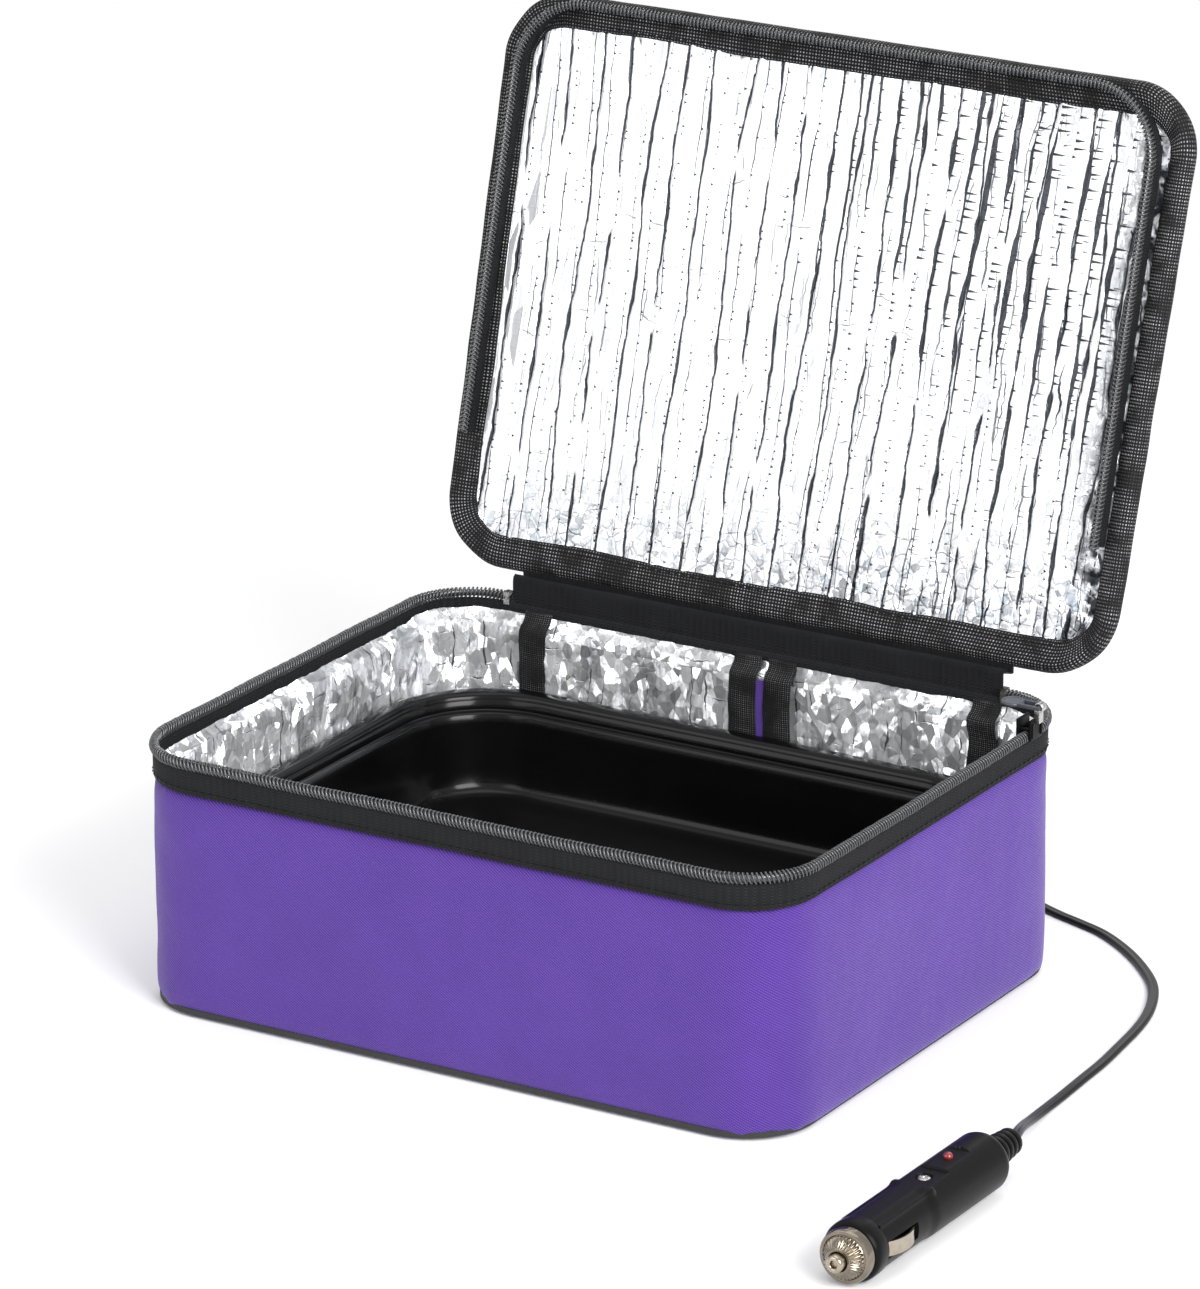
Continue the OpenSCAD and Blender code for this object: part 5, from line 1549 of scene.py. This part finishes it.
def repeatAlong(name, path, kind, paint, closed=False, seed=1, **sizes):
    # sizes in millimetres, Lean in degrees and Jitter as a share
    edges = [(k, k + 1) for k in range(len(path) - 1)] + ([(len(path) - 1, 0)] if closed else [])
    mesh = bpy.data.meshes.new(name)
    mesh.from_pydata([tuple(c * mm for c in p) for p in path], edges, [])
    piece = bpy.data.objects.new(name, mesh)
    bpy.context.scene.collection.objects.link(piece)
    tree, sockets = repeaters[kind]
    modifier = piece.modifiers.new(kind, "NODES")
    modifier.node_group = tree
    for label, value in sizes.items():
        scale = math.radians(1) if label == "Lean" else 1 if label == "Jitter" else mm
        modifier[sockets[label]] = value * scale
    modifier[sockets["Seed"]] = seed
    modifier[sockets["Material"]] = paint.material
    return plain(piece)


# zip

zipper = {
    "inset": 0.6, "low": 92.4, "high": 98.6, "across": 1.4, "up": 2.0, "pitch": 1.5, "wire": 0.36,
    "core": (0.754, 1.218), "lean": 22, "jitter": 0.04, "lidEnd": 55, "tapeAt": 103.6,
    "arc": 18, "spacing": 2.5,
    "tape": [(-0.6, -2.5), (-0.75, 0), (-0.6, 2.5), (0.6, 2.5), (0.75, 0), (0.6, -2.5)],
}


def bagLine(z):
    # from the left end of the zip round the front to its right end
    width, depth, radius = (value - zipper["inset"] * share for value, share in zip(bagShape, (2, 2, 1)))
    steps = [round(size / zipper["spacing"]) for size in (width, depth)]
    line = outline(width, depth, radius, zipper["arc"], *steps)
    flat = bag["flat"] - 2.6
    kept = [(x, y, z) for x, y in line if not (abs(x) < flat and y > depth / 2 - 1)]
    cut = next(k for k in range(len(kept)) if kept[k][0] > 0 and kept[(k + 1) % len(kept)][0] < 0
               and kept[k][1] > depth / 2 - 1)
    return kept[cut + 1:] + kept[:cut + 1]


def sway(path, amount, size, seed):
    return [(x, y, z + amount * wobble(x / size, y / size, seed)) for x, y, z in path]


def zipHalf(name, line, seed):
    # hoops of wire round a cord
    loops = repeatAlong("zipHoops", line, "hoops", finish["teeth"], seed=seed, Pitch=zipper["pitch"],
                        Across=zipper["across"], Up=zipper["up"], Wire=zipper["wire"],
                        Lean=zipper["lean"], Jitter=zipper["jitter"])
    wide, tall = zipper["core"]
    core = sweep("zipCore", line, [(wide * math.cos(-a * math.pi / 4), tall * math.sin(-a * math.pi / 4))
                                   for a in range(8)])
    return join(name, [core, loops])


def lidLine(z):
    return [p for p in bagLine(z) if p[1] < zipper["lidEnd"]]


def makeZip():
    lower = zipHalf("zipLower", sway(bagLine(zipper["low"]), rim["sway"], rim["swaySize"], rim["seed"]), 1)
    dress(lower, "teeth", "bag", "zip_plastic", "zip_chain_lower")
    upper = openUp(zipHalf("zipUpper", lidLine(zipper["high"]), 2), 0)
    dress(upper, "teeth", "lid", "zip_plastic", "zip_chain_upper")


def makeLidTape():
    piece = openUp(sweep("lidTape", sway(lidLine(zipper["tapeAt"]), 0.3, 30, 8.0), zipper["tape"]), 0)
    return dress(piece, "herringbone", "lid", "black_fabric", "lid_zip_tape")


# body, outline, its middle in y, inset, height and steps round a corner
seams = {
    "rimStitches": ("bag", bagShape, 0, -0.15, 83.4, 16),
    "bindingStitches": ("lid", lidShape, lid["middleY"], 9.6, 106.1, 12),
}
stitch = {"Pitch": 3.3, "Across": 0.22, "Up": 0.25, "Along": 1.2, "Jitter": 0.08}


def makeStitches():
    for name, (body, shape, middle, inset, z, arc) in seams.items():
        ring = outline(shape[0] - 2 * inset, shape[1] - 2 * inset, shape[2] - inset, arc, 60, 46)
        path = [(x, y + middle, z) for x, y in ring]
        piece = repeatAlong(name, path, "beads", finish["rubber"], closed=True, seed=5, **stitch)
        if body == "lid":
            openUp(piece)
        dress(piece, "rubber", body, "black_fabric")


def roundBox(name, low, high, edge=0.25, steps=2):
    work = bmesh.new()
    bmesh.ops.create_cube(work, size=1)
    for vertex in work.verts:
        for k in range(3):
            vertex.co[k] = (low[k] + high[k]) / 2 + vertex.co[k] * (high[k] - low[k])
    bmesh.ops.bevel(work, geom=work.edges[:], offset=edge, segments=steps, profile=0.6, affect="EDGES")
    work.verts.index_update()
    vertices = [tuple(v.co) for v in work.verts]
    faces = [tuple(v.index for v in f.verts) for f in work.faces]
    work.free()
    return meshPiece(name, vertices, faces, sharp=40)


slider = {
    "y": 70, "half": 4, "cheeks": [(129.2, 130.4), (124.4, 125.6)], "low": 91.4, "high": 98.9,
    "post": [(125.2, -3.9, 94.9), (129.6, -3, 96.1)], "rib": (130.2, 130.9), "ribAt": 3.1, "ribHalf": 0.5,
    "foot": [(130.0, -1.5, 97.4), (132.2, 1.5, 102.3)], "pin": (132, 103.2), "pinRadius": 0.75,
    # the eye's section: radius and place along the pin
    "eye": [(0.83, -1.3), (0.83, 1.3), (1.45, 1.5), (1.75, 1.2), (1.75, -1.2), (1.45, -1.5)],
    "tab": 121, "tabRadius": 4.2, "tabThick": 1.4, "armAt": 2.3, "armHalf": 0.5, "pinHalf": 2.7,
}


def sliderBox(name, low, high, *bevel):
    low, high = ((x, y + slider["y"], z) for x, y, z in (low, high))
    return roundBox(name, low, high, *bevel)


def makeSlider():
    half, low, high = slider["half"], slider["low"], slider["high"]
    pieces = [sliderBox("cheek", (a, -half, low), (b, half, high), 0.5, 3) for a, b in slider["cheeks"]]
    pieces.append(sliderBox("post", *slider["post"], 0.3))
    a, b = slider["rib"]
    for middle in (-slider["ribAt"], slider["ribAt"]):
        pieces.append(sliderBox("rib", (a, middle - slider["ribHalf"], low + 1),
                                (b, middle + slider["ribHalf"], high - 1.2)))
    body = join("sliderBody", pieces)
    dress(body, "plug", "zip_slider", "slider_metal")
    # the crown's eye, a band round the pin's hole, stands on a foot
    x, z = slider["pin"]
    rings = [[(x - 0.3 * (r > 1) + r * math.cos(k * math.pi / 16), slider["y"] + offset,
               z + r * math.sin(k * math.pi / 16)) for k in range(32)] for r, offset in slider["eye"]]
    foot = sliderBox("foot", *slider["foot"], 0.4)
    crown = join("sliderCrown", [loft("eye", rings, tube=True, sharp=40), foot])
    dress(crown, "steel", "zip_slider", "slider_metal", "zip_slider")


def makePull():
    y, (x, z) = slider["y"], slider["pin"]
    t = slider["tabThick"] / 2
    tab, r = slider["tab"], slider["tabRadius"]
    profile = [(0.3, -t), (r - 0.45, -t), (r - 0.12, -t * 0.6), (r, 0), (r - 0.12, t * 0.6),
               (r - 0.45, t), (r - 1.0, t), (r - 1.25, t - 0.22), (0.3, t - 0.22)]
    rings = [[(tab + q * math.cos(k * math.pi / 24), y + q * math.sin(k * math.pi / 24), z + h)
              for k in range(48)] for q, h in profile]
    pieces = [loft("tab", rings, capStart=True, capEnd=True, sharp=40)]
    for middle in (-slider["armAt"], slider["armAt"]):
        pieces.append(sliderBox("arm", (tab + 2.6, middle - slider["armHalf"], z - t),
                                (x + 0.7, middle + slider["armHalf"], z + t), 0.3))
    pin = [[(x + slider["pinRadius"] * math.cos(k * math.pi / 12), y + offset,
             z - slider["pinRadius"] * math.sin(k * math.pi / 12)) for k in range(24)]
           for offset in (-slider["pinHalf"], slider["pinHalf"])]
    pieces.append(loft("pin", pin, capStart=True, capEnd=True, sharp=40))
    piece = join("zipPull", pieces)
    return dress(piece, "pull", "zip_pull", "pull_plastic", "zip_pull")


makeZip()
makeLidTape()
makeStitches()
makeSlider()
makePull()
print("zip made")


# plug, made along its own x from the back of the grip to the tip

plug = {
    "at": (200, -93, 10.5), "gripRadius": 10.3, "noseRadius": 9.8, "gripEnd": 48, "taperEnd": 54,
    "flat": 9.2, "step": 8.7, "patchStart": 16.5, "patchHalf": 5.2, "patchTop": 9.45,
    "stepStart": 34, "stepEnd": 48.4, "screw": 41, "recess": 3.3, "recessDepth": 1.1,
    "ridgeStart": 48.5, "ridgeAngle": 50, "ridgeHeight": 0.75, "slot": (62, 81), "slotHalf": 2.8,
    "slotFloor": 4.65, "bore": 4.4, "ribs": 5, "screwTop": 8.6, "knurl": 0.34, "knurls": 34,
    "rounding": 3, "finePitch": 2.2, "fineDepth": 0.3, "fineTo": -8.6, "ridgeWide": 4.6, "bulb": 3.2,
    "topUnder": 0.45,
}


def plugPlace(points):
    points = np.asarray(points, float)
    x, y, z = plug["at"]
    return np.stack([x + points[:, 1], y - points[:, 0], z + points[:, 2]], 1)


def seatPlug(piece):
    place(piece, plugPlace(corners(piece)))
    return piece


def gripRadius(x):
    r = plug["gripRadius"]
    end = plug["rounding"]
    if x < end:
        return r - end * (1 - math.sqrt(max(0, 1 - ((end - x) / end) ** 2))) - 0.15
    if x < plug["gripEnd"]:
        return r
    t = min(1, (x - plug["gripEnd"]) / (plug["taperEnd"] - plug["gripEnd"]))
    return r + (plug["noseRadius"] - r) * t * t * (3 - 2 * t)


def bodyRadius(x, angle):
    # the shell's radius: grip, bare patch, fine ribs, step with the screw's recess, and ridges
    r = gripRadius(x)
    y, z = r * math.cos(angle), r * math.sin(angle)
    if z > 0:
        limit = r
        first, half = plug["patchStart"], plug["patchHalf"]
        if first - 2 < x < plug["stepStart"]:
            rounded = math.hypot(max(0, first + half - x), y) if x < first + half else abs(y)
            limit = plug["patchTop"] if rounded < half else r
            if rounded >= half and first + 3 < x < first + 12 and plug["fineTo"] < y < 0:
                r -= plug["fineDepth"] * (0.5 - 0.5 * math.cos(2 * math.pi * x / plug["finePitch"]))
        elif plug["stepStart"] <= x < plug["stepEnd"]:
            limit = plug["step"]
            across = max(abs(x - plug["screw"]), abs(x - plug["screw"]) / 2 + abs(y) * 0.866)
            if across < plug["recess"] * 0.92:
                limit = plug["step"] - plug["recessDepth"]
        if limit < r * math.sin(angle):
            r = limit / math.sin(angle)
        if x > plug["ridgeStart"] - 2.2:
            turn = math.degrees(angle)
            for middle in (plug["ridgeAngle"], 180 - plug["ridgeAngle"]):
                start = min(1, max(0, (x - plug["ridgeStart"] + 2.2) / 1.2))
                bulb = math.exp(-((x - plug["ridgeStart"] - 0.6) / 1.6) ** 2)
                width = plug["ridgeWide"] + plug["bulb"] * bulb
                height = plug["ridgeHeight"] * (1 + 0.45 * bulb) * start
                r += height * math.exp(-((turn - middle) / width) ** 2)
            top = plug["noseRadius"] - plug["topUnder"]
            if r * math.sin(angle) > top and abs(turn - 90) < 30:
                r = top / math.sin(angle)
    return r


def bodyPoint(x, angle):
    # a place on the shell, or on the flat floor of a contact's slot
    r = bodyRadius(x, angle)
    side, up = r * math.cos(angle), r * math.sin(angle)
    if plug["slot"][0] < x < plug["slot"][1] and abs(up) < plug["slotHalf"]:
        side = math.copysign(plug["slotFloor"], side)
    return (x, side, up)


def makePlugBody():
    slotTurn = math.degrees(math.asin(plug["slotHalf"] / plug["noseRadius"]))
    turns = set(np.arange(0, 360, 3.75)) | set(np.arange(45, 136, 1.5))
    for middle in (0, 180, 360):
        turns |= {middle + side * (slotTurn + nudge) for side in (-1, 1) for nudge in (-0.25, 0.25)}
    turns = sorted(t for t in turns if 0 <= t < 360)
    places = [0, 0.15, 0.5, 1, 1.6, 2.2, 3, 61.9, 62.1, 80.9, 81.1, 81.5, 81.8, 82]
    for first, last, step in ((4, 14.5, 1.2), (14.6, 48.6, 0.32), (48.9, 61.8, 0.55), (63, 80.8, 0.9)):
        places += list(np.arange(first, last, step))
    rings = [[bodyPoint(x, math.radians(t)) for t in turns] for x in sorted(places)]
    bore = plug["bore"]
    for x, r in ((82, bore + 0.4), (81, bore), (4, bore - 0.6), (2.2, 3.6), (0.2, 3.5)):
        rings.append([(x, r * math.cos(math.radians(t)), r * math.sin(math.radians(t))) for t in turns])
    piece = seatPlug(loft("plugBody", rings, tube=True, sharp=28))
    return dress(piece, "plug", "bag", "black_plastic", "plug_shell_top", "plug_shell_bottom")


def makeRelief():
    profile = [(-18, 0), (-18, 2.6), (-17.8, 2.9)]
    for k in range(plug["ribs"]):
        start, outer = -17.6 + k * 3.4, 4.7 + 0.3 * k
        inner = 3.3 + 0.25 * k
        profile += [(start, inner), (start + 0.05, outer - 0.6), (start + 0.3, outer - 0.15),
                    (start + 0.7, outer), (start + 1.5, outer), (start + 1.9, outer - 0.15),
                    (start + 2.15, outer - 0.6), (start + 2.2, inner)]
    profile += [(0, 3.9), (0.2, 3.2), (2.4, 3.2), (2.5, 5), (4, 5), (4, 0)]
    piece = seatPlug(spin("reliefSleeve", profile, 40))
    return dress(piece, "rubber", "bag", "rubber", "plug_strain_relief")


def makeCollar():
    profile = [(82.1, 8.3), (82.1, 9.9), (82.25, 10.2), (82.7, 10.35), (86.4, 10.4), (87.6, 10.3),
               (88.5, 9.9), (89, 9.35), (89, 8.3)]
    piece = seatPlug(spin("plugCollar", profile, 72, tube=True))
    return dress(piece, "plug", "bag", "black_plastic", "plug_collar")


def makeNose():
    profile = [(88.5, 3.2), (88.5, 8.15), (89.1, 8.2), (89.12, 8.95), (89.35, 9.2), (91.6, 9.2),
               (92.2, 9.12), (92.75, 8.85), (92.9, 8.5), (92.9, 7.7), (92.75, 7.5), (93.0, 7.25),
               (93.6, 7.05), (94.4, 6.75), (95.3, 5.95), (96.2, 5.0), (96.8, 4.5), (97, 4.2),
               (97, 3.5), (96.6, 3.2)]
    rings = []
    for x, r in profile:
        # fine radial ridges on the cone
        ridge = plug["knurl"] if 93.5 < x < 96.5 and r > 4.8 else 0
        rings.append([(x, (r + ridge * math.cos(a * plug["knurls"])) * math.cos(a),
                       (r + ridge * math.cos(a * plug["knurls"])) * math.sin(a))
                      for a in (math.pi * k / 138 for k in range(276))])
    piece = seatPlug(loft("noseRing", rings, tube=True, sharp=30))
    return dress(piece, "noseMetal", "bag", "bright_metal", "nose_ring")


def makePin():
    # the sprung centre contact, hollow at its tip
    profile = [(84, 0), (84, 3), (98.9, 3), (99.5, 2.85), (99.9, 2.4), (100, 2.0), (99.9, 1.55), (99.6, 1.3),
               (98.4, 1.15), (98.3, 0)]
    piece = seatPlug(spin("pinTip", profile, 40))
    return dress(piece, "nickel", "plug_pin", "bright_metal", "centre_pin")


def makeScrew():
    # a domed head with a cross slot, in the panel's recess
    rings, top = [], plug["screwTop"]
    for r, z in ((2.2, top - 2.6), (2.2, top - 0.5), (2.05, top - 0.28), (1.7, top - 0.16), (1.3, top - 0.08),
                 (1.0, top - 0.03), (0.75, top), (0.5, top), (0.3, top), (0.12, top)):
        ring = []
        for k in range(64):
            a = 2 * math.pi * k / 64 + 0.5
            x, y = r * math.cos(a), r * math.sin(a)
            slot = min(abs(x), abs(y)) < 0.28 and r < 1.5
            ring.append((plug["screw"] + x, y, z - (0.5 if slot else 0)))
        rings.append(ring)
    piece = seatPlug(loft("plugScrew", rings, capStart=True, capEnd=True, sharp=35))
    return dress(piece, "steel", "bag", "steel", "plug_screw")


plugScrew, pinTip = makeScrew(), makePin()
plugBody, reliefSleeve, plugCollar, noseRing = makePlugBody(), makeRelief(), makeCollar(), makeNose()
plugShown = [plugBody, reliefSleeve, plugCollar, noseRing, plugScrew, pinTip]
plugShown += [cadNodes[name] for name in ("indicator_lens", "contact_left", "contact_right", "pin_spring",
                                          "plug_fuse", "coil_tie")]
print("plug made")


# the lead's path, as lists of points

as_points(leadPath)
